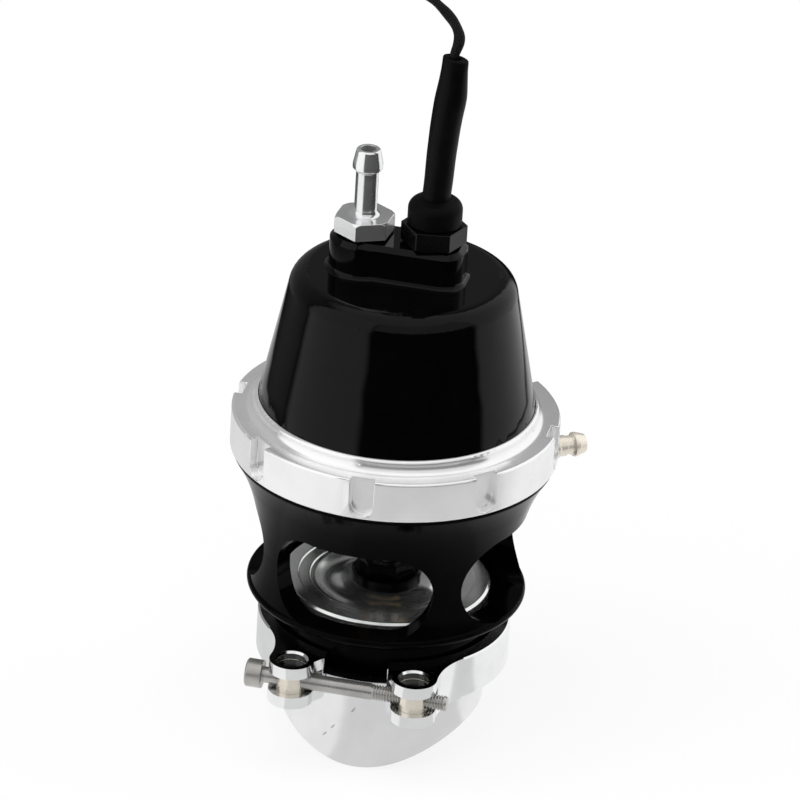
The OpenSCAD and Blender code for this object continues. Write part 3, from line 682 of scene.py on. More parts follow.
def merged_solid(node: str) -> tuple[np.ndarray, np.ndarray]:
    """Reads a solid's loose triangles and merges the corners that share a place to a micrometre.

    Args:
        node: name of the solid.

    Returns:
        Points in metres, n by 3, and triangles, m by 3.
    """
    source = frame["nodes"][node].data
    place = read_array(source.vertices, "co", np.float32, 3).astype(float)
    corner = read_array(source.loops, "vertex_index", np.int64)
    cells = np.round(place * MICRONS).astype(np.int64)
    _, first, back = np.unique(cells, axis=0, return_index=True, return_inverse=True)
    triangles = back.reshape(-1)[corner].reshape(-1, 3)
    whole = (triangles != np.roll(triangles, -1, axis=1)).all(axis=1)
    return place[first], triangles[whole]


def weigh_edges(mesh: bpy.types.Mesh, reach: float) -> None:
    """Marks the sharp edges of a mesh that lie outside a cylinder about Z, so that they are rounded.

    Args:
        mesh: the mesh, with its sharp edges set.
        reach: the cylinder's radius in millimetres.
    """
    ends = read_array(mesh.edges, "vertices", np.int64, 2)
    points = read_array(mesh.vertices, "co", np.float32, 3)
    away = np.hypot(*points[:, :2].T)[ends].min(axis=1)
    sharp = read_array(mesh.edges, "use_edge_sharp", bool)
    weights = mesh.attributes.new("bevel_weight_edge", "FLOAT", "EDGE")
    weights.data.foreach_set("value", (sharp & (away >= reach * MM)).astype(np.float32))


def settle(piece: bpy.types.Object, finish: Finish, node: str) -> bpy.types.Object:
    """Dresses a piece, lets it ride with the body of the solid that it stands for, and hides that solid.

    Args:
        piece: the new piece.
        finish: its finish.
        node: the solid that it stands for.

    Returns:
        The piece.
    """
    bodies = frame["record"]["behaviour"]["bodies"]
    home = next(name for name, members in bodies.items() if node in members)
    piece.data.materials.clear()
    piece.data.materials.append(finish.material())
    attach(piece, home)
    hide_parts(node)
    LOG.info("%s: %s on %s, %d faces", piece.name, finish.slot, home, len(piece.data.polygons))
    return piece


def dress_skin(
    name: str, skin: Skin, finish: Finish, node: str, crease: float = SKIN_CREASE
) -> bpy.types.Object:
    """Makes a piece of a skin and puts it in a solid's place.

    Args:
        name: the piece's name.
        skin: its surface, in millimetres.
        finish: its finish.
        node: the solid that it stands for.
        crease: edges that bend more than this many degrees stay sharp.

    Returns:
        The new piece.
    """
    quads, fans = skin.faces()
    piece = new_piece(name, skin.vertices() * MM, quads.tolist() + fans.tolist(), crease)
    if skin.v is not None:
        wrap_uv(piece.data, skin)
    return settle(piece, finish, node)


def dress_solid(
    node: str,
    finish: Finish,
    bevel: float = 0.0,
    bevel_from: float = 0.0,
    extra: Optional[Skin] = None,
    reshape: Optional[Callable[[np.ndarray], np.ndarray]] = None,
) -> bpy.types.Object:
    """Makes a piece of a solid's merged copy, shaded smooth, and puts it in the solid's place.

    Args:
        node: name of the solid.
        finish: the piece's finish.
        bevel: width in millimetres of the rounding along sharp edges, or 0 for none.
        bevel_from: distance from the Z axis in millimetres from which edges are rounded.
        extra: a looped skin that is added to the copy, or nothing.
        reshape: moves the copy's points, in millimetres, or nothing.

    Returns:
        The new piece.
    """
    points, triangles = merged_solid(node)
    faces = triangles.tolist()
    if reshape is not None:
        points = reshape(points / MM) * MM
    if extra is not None:
        faces += (extra.faces()[0] + len(points)).tolist()
        points = np.concatenate([points, extra.vertices() * MM])
    piece = new_piece(f"{node}_skin", points, faces, SOLID_CREASE)
    if bevel:
        weigh_edges(piece.data, bevel_from)
        rounding = piece.modifiers.new("rounding", "BEVEL")
        rounding.width = bevel * MM
        rounding.segments = 2
        rounding.limit_method = "WEIGHT"
        rounding.use_clamp_overlap = False
        rounding.harden_normals = True
    else:
        weights = piece.modifiers.new("flat_faces", "WEIGHTED_NORMAL")
        weights.keep_sharp = True
        weights.weight = 100
    return settle(piece, finish, node)


@dataclass(frozen=True)
class Lamp:
    """A square soft lamp that points at the valve.

    Attributes:
        name: its name.
        place: its place in millimetres.
        size: its side in millimetres.
        power: its power in watts.
    """

    name: str
    place: Triple
    size: float
    power: float

    def hang(self, aim: Vector) -> None:
        """Hangs the lamp, out of sight of mirrored rays, which see the background's soft boxes instead.

        Args:
            aim: the point in metres that it looks at.
        """
        data = bpy.data.lights.new(self.name, "AREA")
        data.size = self.size * MM
        data.energy = self.power
        lamp = bpy.data.objects.new(self.name, data)
        lamp.location = Vector(self.place) * MM
        lamp.visible_glossy = False
        lamp.rotation_euler = (aim - lamp.location).to_track_quat("-Z", "Y").to_euler()
        bpy.context.scene.collection.objects.link(lamp)


@dataclass(frozen=True)
class SoftBox:
    """A bright patch of the background, which shows in mirrors alone.

    Attributes:
        middle: its middle in degrees round the valve.
        half: half its width in degrees.
        ends: sines of the elevations of its lower and upper edge.
        level: how bright it is.
        soft_side: half the width in degrees of its soft left and right edges.
        soft_end: half the height of its soft lower and upper edges, as a sine.
    """

    middle: float
    half: float
    ends: Pair
    level: float
    soft_side: float = 4.0
    soft_end: float = 0.07

    def across(self, bench: NodeBench, direction: Socket) -> Socket:
        """Share of the box in a level direction: its cosine with the box's middle, set against the edges'.

        Args:
            bench: the node helper.
            direction: level unit direction.

        Returns:
            1 between the box's sides, 0 outside, with soft edges.
        """
        middle, half, soft = (math.radians(x) for x in (self.middle, self.half, self.soft_side))
        facing = bench.vector("DOT_PRODUCT", direction, (math.cos(middle), math.sin(middle), 0.0))
        return bench.spread(facing, math.cos(half + soft), math.cos(half - soft))

    def light(self, bench: NodeBench, direction: Socket, height: Socket) -> Socket:
        """Brightness of the box in a direction.

        Args:
            bench: the node helper.
            direction: level unit direction.
            height: sine of the elevation.

        Returns:
            The box's level inside it, 0 outside, with soft edges.
        """
        above, beyond = (
            bench.spread(height, end - self.soft_end, end + self.soft_end) for end in self.ends
        )
        share = bench.math("MULTIPLY", self.across(bench, direction), bench.math("SUBTRACT", above, beyond))
        return bench.math("MULTIPLY", share, self.level)


@dataclass
class Studio:
    """Camera, floor, lamps and background.

    Attributes:
        elevation, azimuth, roll: the camera's direction from the valve and its turn, in degrees.
        distance: from the camera to the point that it aims at.
        aim_z: height of that point on the valve's axis.
        focal_px, image_px, aim_px: focal length, image side and place of that point, in the photo's pixels.
        sensor: width of the camera's sensor.
        floor_z, floor_r, floor_hub: height, radius and innermost ring of the floor.
        floor_grid: how many rings and columns it has.
        floor_grey: its colour where light falls on it.
        white_reach, white_share: distances between which it turns white for the camera, and how white.
        pool, side_pool: distances between which its glow in mirrors fades, in front and elsewhere.
        floor_level: the glow's level outside and inside the soft boxes.
        soft: the background's level as light.
        dark: its level in mirrors between the soft boxes.
        top_level, top_edge: level in mirrors overhead, and the sines between which it starts.
        box_left, box_right, wall, side_wall, front: the soft boxes.
        lamps: the lamps.
    """

    elevation: float = 26.98
    azimuth: float = 11.7
    roll: float = 3.447
    distance: float = 1791.0
    aim_z: float = 66.0
    focal_px: float = 7359.0
    image_px: float = 800.0
    aim_px: Pair = (394.02, 447.35)
    sensor: float = 36.0
    floor_z: float = -9.7
    floor_r: float = 300.0
    floor_hub: float = 2.0
    floor_grid: tuple[int, int] = (12, 96)
    floor_grey: float = 0.86
    white_reach: Pair = (50.0, 270.0)
    white_share: Pair = (0.86, 1.0)
    pool: Pair = (205.0, 250.0)
    side_pool: Pair = (268.0, 297.0)
    floor_level: Pair = (0.7, 0.93)
    soft: float = 0.45
    dark: float = 0.02
    top_level: float = 0.9
    top_edge: Pair = (0.72, 0.88)
    box_left: SoftBox = SoftBox(-143.0, 35.0, (-0.72, 0.9), 1.0)
    box_right: SoftBox = SoftBox(38.0, 40.0, (-0.72, 0.9), 1.0)
    wall: SoftBox = SoftBox(102.0, 38.0, (0.1, 0.75), 0.17)
    side_wall: SoftBox = SoftBox(142.0, 36.0, (-0.3, 0.75), 0.22)
    front: SoftBox = SoftBox(-50.0, 56.0, (0.3, 0.95), 0.65)
    lamps: tuple[Lamp, ...] = (
        Lamp("key", (-520.0, -330.0, 620.0), size=460.0, power=2.7),
        Lamp("fill", (560.0, 260.0, 420.0), size=420.0, power=1.6),
        Lamp("top", (-20.0, -280.0, 820.0), size=560.0, power=3.6),
    )

    def build(self) -> None:
        """Makes the whole studio."""
        self.camera()
        self.floor()
        for lamp in self.lamps:
            lamp.hang(self.aim())
        self.background()
        bpy.context.scene.view_settings.view_transform = "Standard"

    def aim(self) -> Vector:
        """The point on the valve's axis that camera and lamps look at, in metres."""
        return Vector((0, 0, self.aim_z * MM))

    def camera(self) -> None:
        """Puts the camera where the photograph was taken from, turned so that the valve is in its place."""
        e, a, roll = (math.radians(x) for x in (self.elevation, self.azimuth, self.roll))
        back = Vector((math.sin(a) * math.cos(e), -math.cos(a) * math.cos(e), math.sin(e)))
        level = Vector(UP).cross(back).normalized()
        upright = back.cross(level)
        right = math.cos(roll) * level + math.sin(roll) * upright
        up = math.cos(roll) * upright - math.sin(roll) * level
        base = Matrix((right, up, back)).transposed()
        yaw = math.atan((self.image_px / 2 - self.aim_px[0]) / self.focal_px)
        pitch = math.atan((self.aim_px[1] - self.image_px / 2) / self.focal_px)
        turn = base @ Matrix.Rotation(pitch, 3, "X") @ Matrix.Rotation(-yaw, 3, "Y")
        place = self.aim() + back * self.distance * MM
        data = bpy.data.cameras.new("camera")
        data.sensor_width = self.sensor
        data.lens = self.focal_px / self.image_px * self.sensor
        camera = bpy.data.objects.new("camera", data)
        camera.matrix_world = Matrix.Translation(place) @ turn.to_4x4()
        bpy.context.scene.collection.objects.link(camera)
        bpy.context.scene.camera = camera

    def floor(self) -> None:
        """Makes a flat white disc: rings of points at growing radii, r_i (cos a_j, sin a_j), in a plane."""
        rings, columns = self.floor_grid
        reach = np.linspace(self.floor_hub, self.floor_r, rings)
        points = turned(np.stack([reach, np.full(rings, self.floor_z)], axis=1), columns)
        index = np.arange(rings * columns).reshape(rings, columns)
        right = np.roll(index, -1, axis=1)
        quads = np.stack([index[:-1], index[1:], right[1:], right[:-1]], axis=-1).reshape(-1, 4)
        middle = index[0][::-1].tolist()
        floor = new_piece("floor", points.reshape(-1, 3) * MM, quads.tolist() + [middle], SKIN_CREASE)
        floor.data.materials.append(self.floor_white())

    def floor_white(self) -> bpy.types.Material:
        """Builds the floor's material.

        The camera sees it white with the valve's shadow. In mirrors it glows in a pool round the valve, more
        brightly below the soft boxes.

        Returns:
            The material.
        """
        material = bpy.data.materials.new("floor_white")
        material.use_nodes = True
        nodes = material.node_tree.nodes
        nodes.remove(nodes["Principled BSDF"])
        bench = NodeBench(material.node_tree)
        place = bench.add("ShaderNodeTexCoord").outputs["Object"]
        reach, direction = bench.vector("LENGTH", place), bench.level(place)
        seen, mirrored = bench.rays()
        near, far = (
            bench.spread(reach, start * MM, end * MM, 1.0, self.dark)
            for start, end in (self.pool, self.side_pool)
        )
        sideways = bench.math("SUBTRACT", 1.0, self.front.across(bench, direction))
        pool = bench.math("MAXIMUM", near, bench.math("MULTIPLY", far, sideways))
        boxes = [box.across(bench, direction) for box in (self.box_left, self.box_right)]
        lit = bench.spread(bench.math("MAXIMUM", *boxes), 0.0, 1.0, *self.floor_level)
        strength = bench.math("MAXIMUM", seen, bench.math("MULTIPLY", lit, pool))
        white_reach = (MM * x for x in self.white_reach)
        white = bench.math("MULTIPLY", seen, bench.spread(reach, *white_reach, *self.white_share))
        grey = (self.floor_grey, self.floor_grey, self.floor_grey, 1.0)
        layers = {
            0: bench.math("MAXIMUM", white, mirrored),
            1: bench.add("ShaderNodeBsdfDiffuse", {"Color": grey}).outputs[0],
            2: bench.add("ShaderNodeEmission", {"Strength": strength}).outputs[0],
        }
        surface = bench.add("ShaderNodeMixShader", layers).outputs[0]
        bench.fill(nodes["Material Output"], {"Surface": surface})
        return material

    def background(self) -> None:
        """Makes the background: white for the camera, soft as light, and dark with soft boxes in mirrors."""
        world = bpy.data.worlds.new("studio")
        bpy.context.scene.world = world
        world.use_nodes = True
        world.cycles.sampling_method = "NONE"
        bench = NodeBench(world.node_tree)
        place = bench.add("ShaderNodeTexCoord").outputs["Generated"]
        direction, height = bench.level(place), bench.parts(place)[2]
        mirror = bench.spread(height, *self.top_edge, 0.0, self.top_level)
        for box in (self.box_left, self.box_right, self.wall, self.side_wall, self.front):
            mirror = bench.math("MAXIMUM", mirror, box.light(bench, direction, height))
        mirror = bench.math("ADD", mirror, self.dark)
        seen, mirrored = bench.rays()
        white = bench.math("MULTIPLY", seen, 1.0 - self.soft)
        glossy = bench.math("MULTIPLY", mirrored, bench.math("SUBTRACT", mirror, self.soft))
        strength = bench.math("ADD", bench.math("ADD", white, glossy), self.soft)
        surface = world.node_tree.nodes["Background"]
        bench.fill(surface, {"Color": (1.0, 1.0, 1.0, 1.0), "Strength": strength})


@dataclass
class PositionSensor:
    """The sensor on the cap with its boot, its sleeve and its lead.

    Attributes:
        x: the sensor's place.
        boot_z, boot_r, boot_h: foot, radius and height of the boot.
        boot_in: radius at which its flat underside starts.
        boot_foot, boot_dome: roundings of its foot and its shoulder.
        dome_drop, dome_end: the shoulder's drop, and the angle in degrees at which it ends.
        boot_crown: points of its middle, as distances outside the sleeve and above its height.
        sleeve_z, sleeve_r, sleeve_l: foot, radius and length of the sleeve.
        sleeve_sunk: how deep it stands in the boot.
        lean, cut: its lean and the slant of its end, in degrees.
        pinch: share of its depth that its end is pinched by.
        sleeve_edge: rounding of its end.
        sleeve_knots: share of its length, radius as a share of its own, and shift aside.
        sleeve_mouth: points of its mouth, as distances outside the hole and below the end.
        hole_gap: from the lead to the hole.
        ripple: how far its wall swings in and out, as a share of its radius.
        lead_d, lead_lobe: the lead's diameter, and the share by which its radius swings.
        twist: length of a turn of its two wires.
        route: points of the lead, from the middle of the sleeve's end.
    """

    x: float = 6.6
    boot_z: float = 127.5
    boot_r: float = 6.6
    boot_h: float = 6.8
    boot_in: float = 0.5
    boot_foot: float = 0.6
    boot_dome: float = 2.6
    dome_drop: float = 0.3
    dome_end: float = 78.0
    boot_crown: tuple[Pair, ...] = ((0.55, -0.12), (0.2, 0.0), (-0.3, 0.1))
    sleeve_z: float = 134.3
    sleeve_r: float = 3.5
    sleeve_l: float = 37.2
    sleeve_sunk: float = 0.2
    lean: float = 3.5
    cut: float = -5.0
    pinch: float = 0.34
    sleeve_edge: float = 0.45
    sleeve_knots: tuple[Triple, ...] = (
        (0.0, 0.98, 0.0), (0.03, 0.98, 0.0), (0.21, 1.0, 0.0), (0.34, 1.02, -0.07), (0.47, 1.04, 0.0),
        (0.57, 1.06, 0.12), (0.63, 1.075, 0.22), (0.68, 1.09, 0.34), (0.72, 1.09, 0.43), (0.755, 1.075, 0.5),
        (0.80, 1.035, 0.53), (0.85, 0.985, 0.53), (0.93, 0.92, 0.48), (1.0, 0.90, 0.44),
    )
    sleeve_mouth: tuple[Pair, ...] = ((0.5, 0.0), (0.12, 0.08), (0.0, 0.4), (0.0, 2.5))
    hole_gap: float = 0.12
    ripple: float = 0.0175
    lead_d: float = 2.4
    lead_lobe: float = 0.07
    twist: float = 16.0
    route: tuple[Triple, ...] = (
        (-0.1, 0, -0.2), (0.5, 0.3, 1.8), (0.9, 0.9, 3.4), (0.7, 1.8, 4.8), (-0.2, 2.9, 6.2),
        (-1.5, 3.9, 7.5), (-3.4, 4.9, 8.8), (-5.6, 6, 10), (-8.3, 7.4, 11.4), (-11.9, 9.6, 13.5),
        (-16.5, 13.6, 15.2), (-20.5, 19.2, 15.4), (-23.5, 26, 13.6), (-25.1, 32.8, 10.1), (-24.7, 38.8, 5.4),
        (-22.3, 43.4, 0), (-18.7, 45.9, -4.4), (-14.9, 46.5, -7.2), (-12, 47.1, -10.2), (-10.1, 47.7, -13),
        (-9.1, 48.1, -15.8), (-9.1, 48.3, -18.6), (-9.9, 48.4, -21.8), (-10.6, 48.6, -25.8),
        (-10.9, 48.8, -31.4), (-10.9, 48.8, -45.4), (-10.9, 48.8, -59.4), (-10.9, 48.8, -73.4),
        (-10.9, 48.8, -87.4), (-10.9, 48.8, -101.4), (-10.9, 48.8, -113.4),
    )

    def build(self) -> None:
        """Makes the lead with its connector, then the sleeve, the boot and the sensor."""
        self.lead(dress_solid("lead_connector", BLACK_ANODISED))
        dress_skin("shrink_sleeve", self.sleeve(), SHRINK_SLEEVE, "heat_shrink")
        dress_skin("rubber_boot", self.boot(), BLACK_RUBBER, "sensor_boot")
        dress_solid("sensor", SENSOR_ANODISED, bevel=0.25)
        dress_solid("sensor_washer", BLACK_RUBBER)

    def sleeve_end(self) -> np.ndarray:
        """Works out where the sleeve ends, along its lean.

        Returns:
            The middle of its far end.
        """
        lean = math.radians(self.lean)
        along = np.array([math.sin(lean), 0.0, math.cos(lean)])
        return np.array([self.x, 0.0, self.sleeve_z]) + self.sleeve_l * along

    def lead(self, plug: bpy.types.Object) -> None:
        """It is two wires under one braid: the radius swings with cos 2(a - 2 pi s / twist) round and along it.

        Args:
            plug: the connector on its far end; not used.
        """
        columns, per_span = 24, 16
        path = smooth_path(np.asarray(self.route, float) + self.sleeve_end(), per_span)
        run = np.concatenate([[0.0], np.cumsum(np.linalg.norm(np.diff(path, axis=0), axis=1))])
        a = np.linspace(0, TAU, columns, endpoint=False)[None, :]
        swing = self.lead_lobe * np.cos(2 * (a - TAU * run[:, None] / self.twist))
        tube = swept(path, self.lead_d / 2 * (1 - self.lead_lobe + swing), (1.0, 0.0, 0.0), columns)
        piece = dress_skin("braided_lead", Skin(tube, v=run / self.lead_d), LEAD_BRAID, "sensor_lead")

    def sleeve(self) -> Skin:
        """The sleeve: a round profile along a leaning line, with a mouth for the lead in its slanted end.

        The knots give each row's radius and its shift aside. With h the row's share of the length, a point is
        lifted by x tan(cut) h^6, so the last ring lies in the slant, and its depth shrinks to 1 - pinch h^8.
        A ripple of sin(3a + 9h) sin(14h) (1 - h) makes the wall uneven.

        Returns:
            The sleeve's skin.
        """
        long, r, e = self.sleeve_l, self.sleeve_r, self.sleeve_edge
        _, end_swell, end_aside = self.sleeve_knots[-1]
        share, swell, aside = smooth_path(self.sleeve_knots, per_span=6)[:-1].T
        wall = np.stack([swell * r, share * (long - e)], axis=1)
        edge = arc((end_swell * r - e, long - e), e, 0, 90, steps=6)
        mouth = np.array([self.lead_d / 2 + self.hole_gap, long]) + np.array(self.sleeve_mouth) * (1, -1)
        points = turned(np.concatenate([wall, edge, mouth]), columns=64)
        bend = np.concatenate([aside, np.full(len(edge) + len(mouth), end_aside)])
        height = np.clip(points[..., 2] / long, 0.0, 1.0)
        points[..., 2] += points[..., 0] * math.tan(math.radians(self.cut)) * height**6
        points[..., 1] *= 1 - self.pinch * height**8
        a = np.arctan2(points[..., 1], points[..., 0])
        ripple = self.ripple * np.sin(3 * a + 9 * height) * np.sin(14 * height) * (1 - height)
        points[..., :2] *= (1 + ripple)[..., None]
        lean = math.radians(self.lean)
        x, z = points[..., 0] + bend[:, None], points[..., 2].copy()
        points[..., 0] = self.x + x * math.cos(lean) + z * math.sin(lean)
        points[..., 2] = self.sleeve_z - self.sleeve_sunk - x * math.sin(lean) + z * math.cos(lean)
        return Skin(points)

    def boot(self) -> Skin:
        """The boot: a turned profile with a rounded foot, a shallow dome and a fillet at the sleeve.

        Returns:
            The boot's skin.
        """
        r, h, f, d = self.boot_r, self.boot_h, self.boot_foot, self.boot_dome
        foot = arc((r - f, f), f, -90, 0, steps=6)
        shoulder = arc((r - d, h - d - self.dome_drop), d, 0, self.dome_end, steps=14)
        crown = np.array([self.sleeve_r, h]) + np.array(self.boot_crown)
        line = np.concatenate([[[self.boot_in, 0.0]], foot, shoulder, crown])
        return Skin(turned(line, columns=96) + np.array([self.x, 0.0, self.boot_z]))


@dataclass
class WeldFlange:
    """The tube that is welded to the pipe, with its V lip, and the seal in its face.

    Attributes:
        pipe_r: radius of the pipe that the foot follows.
        tube_r, bore_r: outer and inner radius of the tube.
        lip_r, lip_t, slope: radius, thickness and slope in degrees of the V lip.
        seal_r, seal_cord, seal_gap: radius of the seal, of its cord, and its room in the groove.
        edge: rounding of the edges.
        foot_h: height over which the foot's curve fades out.
    """

    pipe_r: float = 38.1
    tube_r: float = 25.4
    bore_r: float = 22.4
    lip_r: float = 28.6
    lip_t: float = 2.0
    slope: float = 20.0
    seal_r: float = 25.1
    seal_cord: float = 0.9
    seal_gap: float = 0.1
    edge: float = 0.22
    foot_h: float = 9.0

    def build(self) -> None:
        """Makes the tube and its seal."""
        dress_skin("weld_tube", self.tube(), TUBE_BRIGHT, "weld_flange")
        dress_solid("joint_ring", BLACK_RUBBER)

    def tube(self) -> Skin:
        """The tube: a closed profile turned about Z, whose foot follows the pipe.

        The foot's height is -R + sqrt(R^2 - (r sin a)^2) for a pipe of radius R along X, and it fades out
        over the lower half of the tube.

        Returns:
            The tube's skin.
        """
        lip_low, groove_low = JOINT_Z - self.lip_t, JOINT_Z - 2 * self.seal_cord
        under = lip_low - (self.lip_r - self.tube_r) * math.tan(math.radians(self.slope))
        half = self.seal_cord + self.seal_gap
        inner, outer = self.seal_r - half, self.seal_r + half
        line = rounded(
            [
                [self.bore_r, 0.0], [self.tube_r, 0.0], [self.tube_r, under], [self.lip_r, lip_low],
                [self.lip_r, JOINT_Z], [outer, JOINT_Z], [outer, groove_low],
                [inner, groove_low], [inner, JOINT_Z], [self.bore_r, JOINT_Z],
            ],
            self.edge, closed=True,
        )
        points = turned(line, columns=192)
        foot = -self.pipe_r + np.sqrt(self.pipe_r**2 - points[..., 1] ** 2)
        points[..., 2] += foot * np.clip(1 - points[..., 2] / self.foot_h, 0, 1)
        return Skin(points, loop=True)


@dataclass
class VClamp:
    """The two clamp halves, their hinge pin, the barrels in their ears and the screw through them.

    Attributes:
        screw_y: depth at which the screw lies.
        head_x, under_x, thread_x, tip_x: face and underside of its head, start of its thread, and its tip.
        head_r, head_edge: radius of the head and chamfer of its face.
        socket, socket_r, socket_deep: the hexagon's width, its mean radius and its depth.
        socket_edge, mouth_r: depth of the chamfer at its mouth and the chamfer's radius.
        socket_end: radius up to which the rows of the chamfer follow the hexagon.
        socket_floor, tip_floor: radii at which the flat floor of the socket and of the tip start.
        shank_r, neck: radius of the shank and its fillet under the head.
        crest_r, root_r, pitch: radii of the thread's crest and root, and its pitch.
        run_in, run_out: lengths over which the thread starts and ends.
        tip_r, tip_edge: radius of the tip and length of its chamfer.
        edge: rounding of the head's edges.
    """

    screw_y: float = -32.85
    head_x: float = -26.3
    under_x: float = -22.3
    thread_x: float = 4.7
    tip_x: float = 23.7
    head_r: float = 3.5
    head_edge: float = 0.3
    socket: float = 3.0
    socket_r: float = 1.62
    socket_deep: float = 2.0
    socket_edge: float = 0.12
    mouth_r: float = 1.8
    socket_end: float = 1.7
    socket_floor: float = 1.2
    tip_floor: float = 0.3
    shank_r: float = 2.0
    neck: float = 0.2
    crest_r: float = 1.92
    root_r: float = 1.58
    pitch: float = 0.7
    run_in: float = 1.0
    run_out: float = 0.8
    tip_r: float = 1.53
    tip_edge: float = 0.45
    edge: float = 0.1

    def build(self) -> None:
        """Makes the clamp."""
        for half in ("clamp_right", "clamp_left"):
            dress_solid(half, CLAMP_BRIGHT)
        dress_solid("hinge_pin", GROUND_STEEL)
        for barrel in ("plain_barrel", "threaded_barrel"):
            dress_solid(barrel, BARREL_NICKEL, bevel=0.2)
        dress_skin("socket_screw", self.screw(), PLATED_STEEL, "clamp_screw", TURNED_CREASE)

    def screw(self) -> Skin:
        """The screw, one skin along X from the bottom of its socket to its tip.

        A row's radius is its profile's; in the socket it is the hexagon's, apothem / cos(a mod 60 - 30), and
        on the thread it is that of the thread.

        Returns:
            The screw's skin.
        """
        face, under, floor = self.head_x, self.under_x, self.head_x + self.socket_deep
        head_r, shank_r, e = self.head_r, self.shank_r, self.head_edge
        socket = [
            [self.socket_floor, floor], [self.socket_r, floor], [self.socket_r, face + self.socket_edge],
            [self.mouth_r, face],
        ]
        rim = [[head_r - e, face], [head_r, face + e], [head_r, under]]
        shank = [[shank_r + self.neck, under], [shank_r, under + self.neck], [shank_r, self.thread_x]]
        head = rounded([*socket, *rim, *shank], self.edge, closed=False)
        columns, per_pitch, start = 72, 8, 0.08
        steps = np.arange(self.thread_x + start, self.tip_x - self.tip_edge, self.pitch / per_pitch)
        thread = np.stack([np.full(len(steps), self.crest_r), steps], axis=1)
        tip = np.array([[self.tip_r, self.tip_x], [self.tip_floor, self.tip_x]])
        r, x = np.hsplit(np.concatenate([head, thread, tip]), 2)
        a = np.linspace(0, TAU, columns, endpoint=False)[None, :]
        row = np.arange(len(r))[:, None]
        in_socket = row < np.argmax(r > self.socket_end)
        on_thread = (row >= len(head)) & (row < len(head) + len(thread))
        hexagon = (self.socket / 2) / np.cos(np.mod(a, TAU / 6) - TAU / 12)
        plain = np.where(on_thread, self.thread(x, a), r)
        radius = np.where(in_socket, hexagon * (r / self.socket_r), plain)
        across, up = self.screw_y + radius * np.cos(a), JOINT_Z + radius * np.sin(a)
        return Skin(np.stack([x + 0 * a, across, up], axis=-1))

    def thread(self, x: np.ndarray, a: np.ndarray) -> np.ndarray:
        """The thread's radius, a flat-topped wave between crest and root of phase x / pitch - a / (2 pi).

        Args:
            x: places along the screw, rows by 1.
            a: angles round it, 1 by columns.

        Returns:
            Radii, rows by columns.
        """
        steep, flat, least, short = 1.5, 0.25, 0.2, 0.2
        wave = np.abs(2 * np.mod(x / self.pitch - a / TAU, 1.0) - 1)
        starts = np.clip((x - self.thread_x) / self.run_in, 0, 1)
        ends = np.clip((self.tip_x - short - x) / self.run_out, least, 1)
        deep = (self.crest_r - self.root_r) * np.clip(steep * wave - flat, 0, 1)
        return self.crest_r - deep * starts * ends


@dataclass
class MovingValve:
    """The disc with its hub, seal and stem, and the plates at the diaphragm.

    Attributes:
        stem_r: radius of the disc's hole for the stem.
        disc_r, disc_low, disc_top: radius, underside and top of the disc.
        edge: chamfer of the rim and of the spigot.
        spigot_r, spigot_h: radius and height of the spigot below the disc.
        groove_in, groove_out, groove_deep: the seal's groove, from the spigot outwards, and its depth.
        steps: corners of the stepped ring, as distances inside the rim and below the top.
        ring_in: distance from the rim to the dish's outer bound.
        hub_foot: radius of the dish's inner bound.
        dish_r, dish_up: radius of the dish and height of its centre above the face.
        land: from the dish's edge to the corner before it.
        rounding: rounding of the profile's corners.
    """

    stem_r: float = 4.05
    disc_r: float = 25.6
    disc_low: float = 28.5
    disc_top: float = 31.0
    edge: float = 0.6
    spigot_r: float = 21.6
    spigot_h: float = 1.8
    groove_in: float = 0.6
    groove_out: float = 2.7
    groove_deep: float = 1.7
    steps: tuple[Pair, ...] = ((3.9, 0.0), (4.1, 0.4), (6.8, 0.5), (7.0, 0.8))
    ring_in: float = 7.4
    hub_foot: float = 10.4
    dish_r: float = 6.0
    dish_up: float = 5.0
    land: float = 0.1
    rounding: float = 0.14

    def build(self) -> None:
        """Makes all the pieces that lift together."""
        dress_skin("turned_disc", self.disc(), DISC_TURNED, "valve_disc", TURNED_CREASE)
        dress_solid("disc_hub", BLACK_ANODISED, bevel=0.3)
        dress_solid("seat_ring", BLACK_RUBBER)
        dress_solid("disc_nut", PLATED_STEEL, bevel=0.25)
        dress_solid("valve_stem", GROUND_STEEL)
        for plate in ("lower_plate", "upper_plate"):
            dress_solid(plate, DISC_TURNED)
        dress_solid("stem_nut", PLATED_STEEL)
        dress_solid("magnet", MAGNET_DARK)

    def disc(self) -> Skin:
        """The disc: a closed profile turned about Z, with a flat rim, a stepped ring and a dish.

        Returns:
            The disc's skin.
        """
        r, low, top, s, e = self.disc_r, self.disc_low, self.disc_top, self.spigot_r, self.edge
        foot, face, deep = low - self.spigot_h, top - self.steps[-1][1], low + self.groove_deep
        inner, outer = s + self.groove_in, s + self.groove_out
        middle = (r - self.ring_in + self.hub_foot) / 2
        half = math.degrees(math.acos(self.dish_up / self.dish_r))
        dish = arc((middle, face + self.dish_up), self.dish_r, -90 + half, -90 - half)
        spigot = [[self.stem_r, foot], [s - e, foot], [s, foot + e], [s, low]]
        groove = [[inner, low], [inner, deep], [outer, deep], [outer, low]]
        rim = [[r, low], [r, top - e], [r - e, top]]
        ring = [[r - inset, top - drop] for inset, drop in self.steps]
        corners = [*spigot, *groove, *rim, *ring, [dish[0, 0] + self.land, face]]
        line = rounded(corners, self.rounding, closed=False, steps=4)
        line = np.concatenate([line, dish, [[self.stem_r, face]]])
        return Skin(turned(line, columns=160), loop=True)


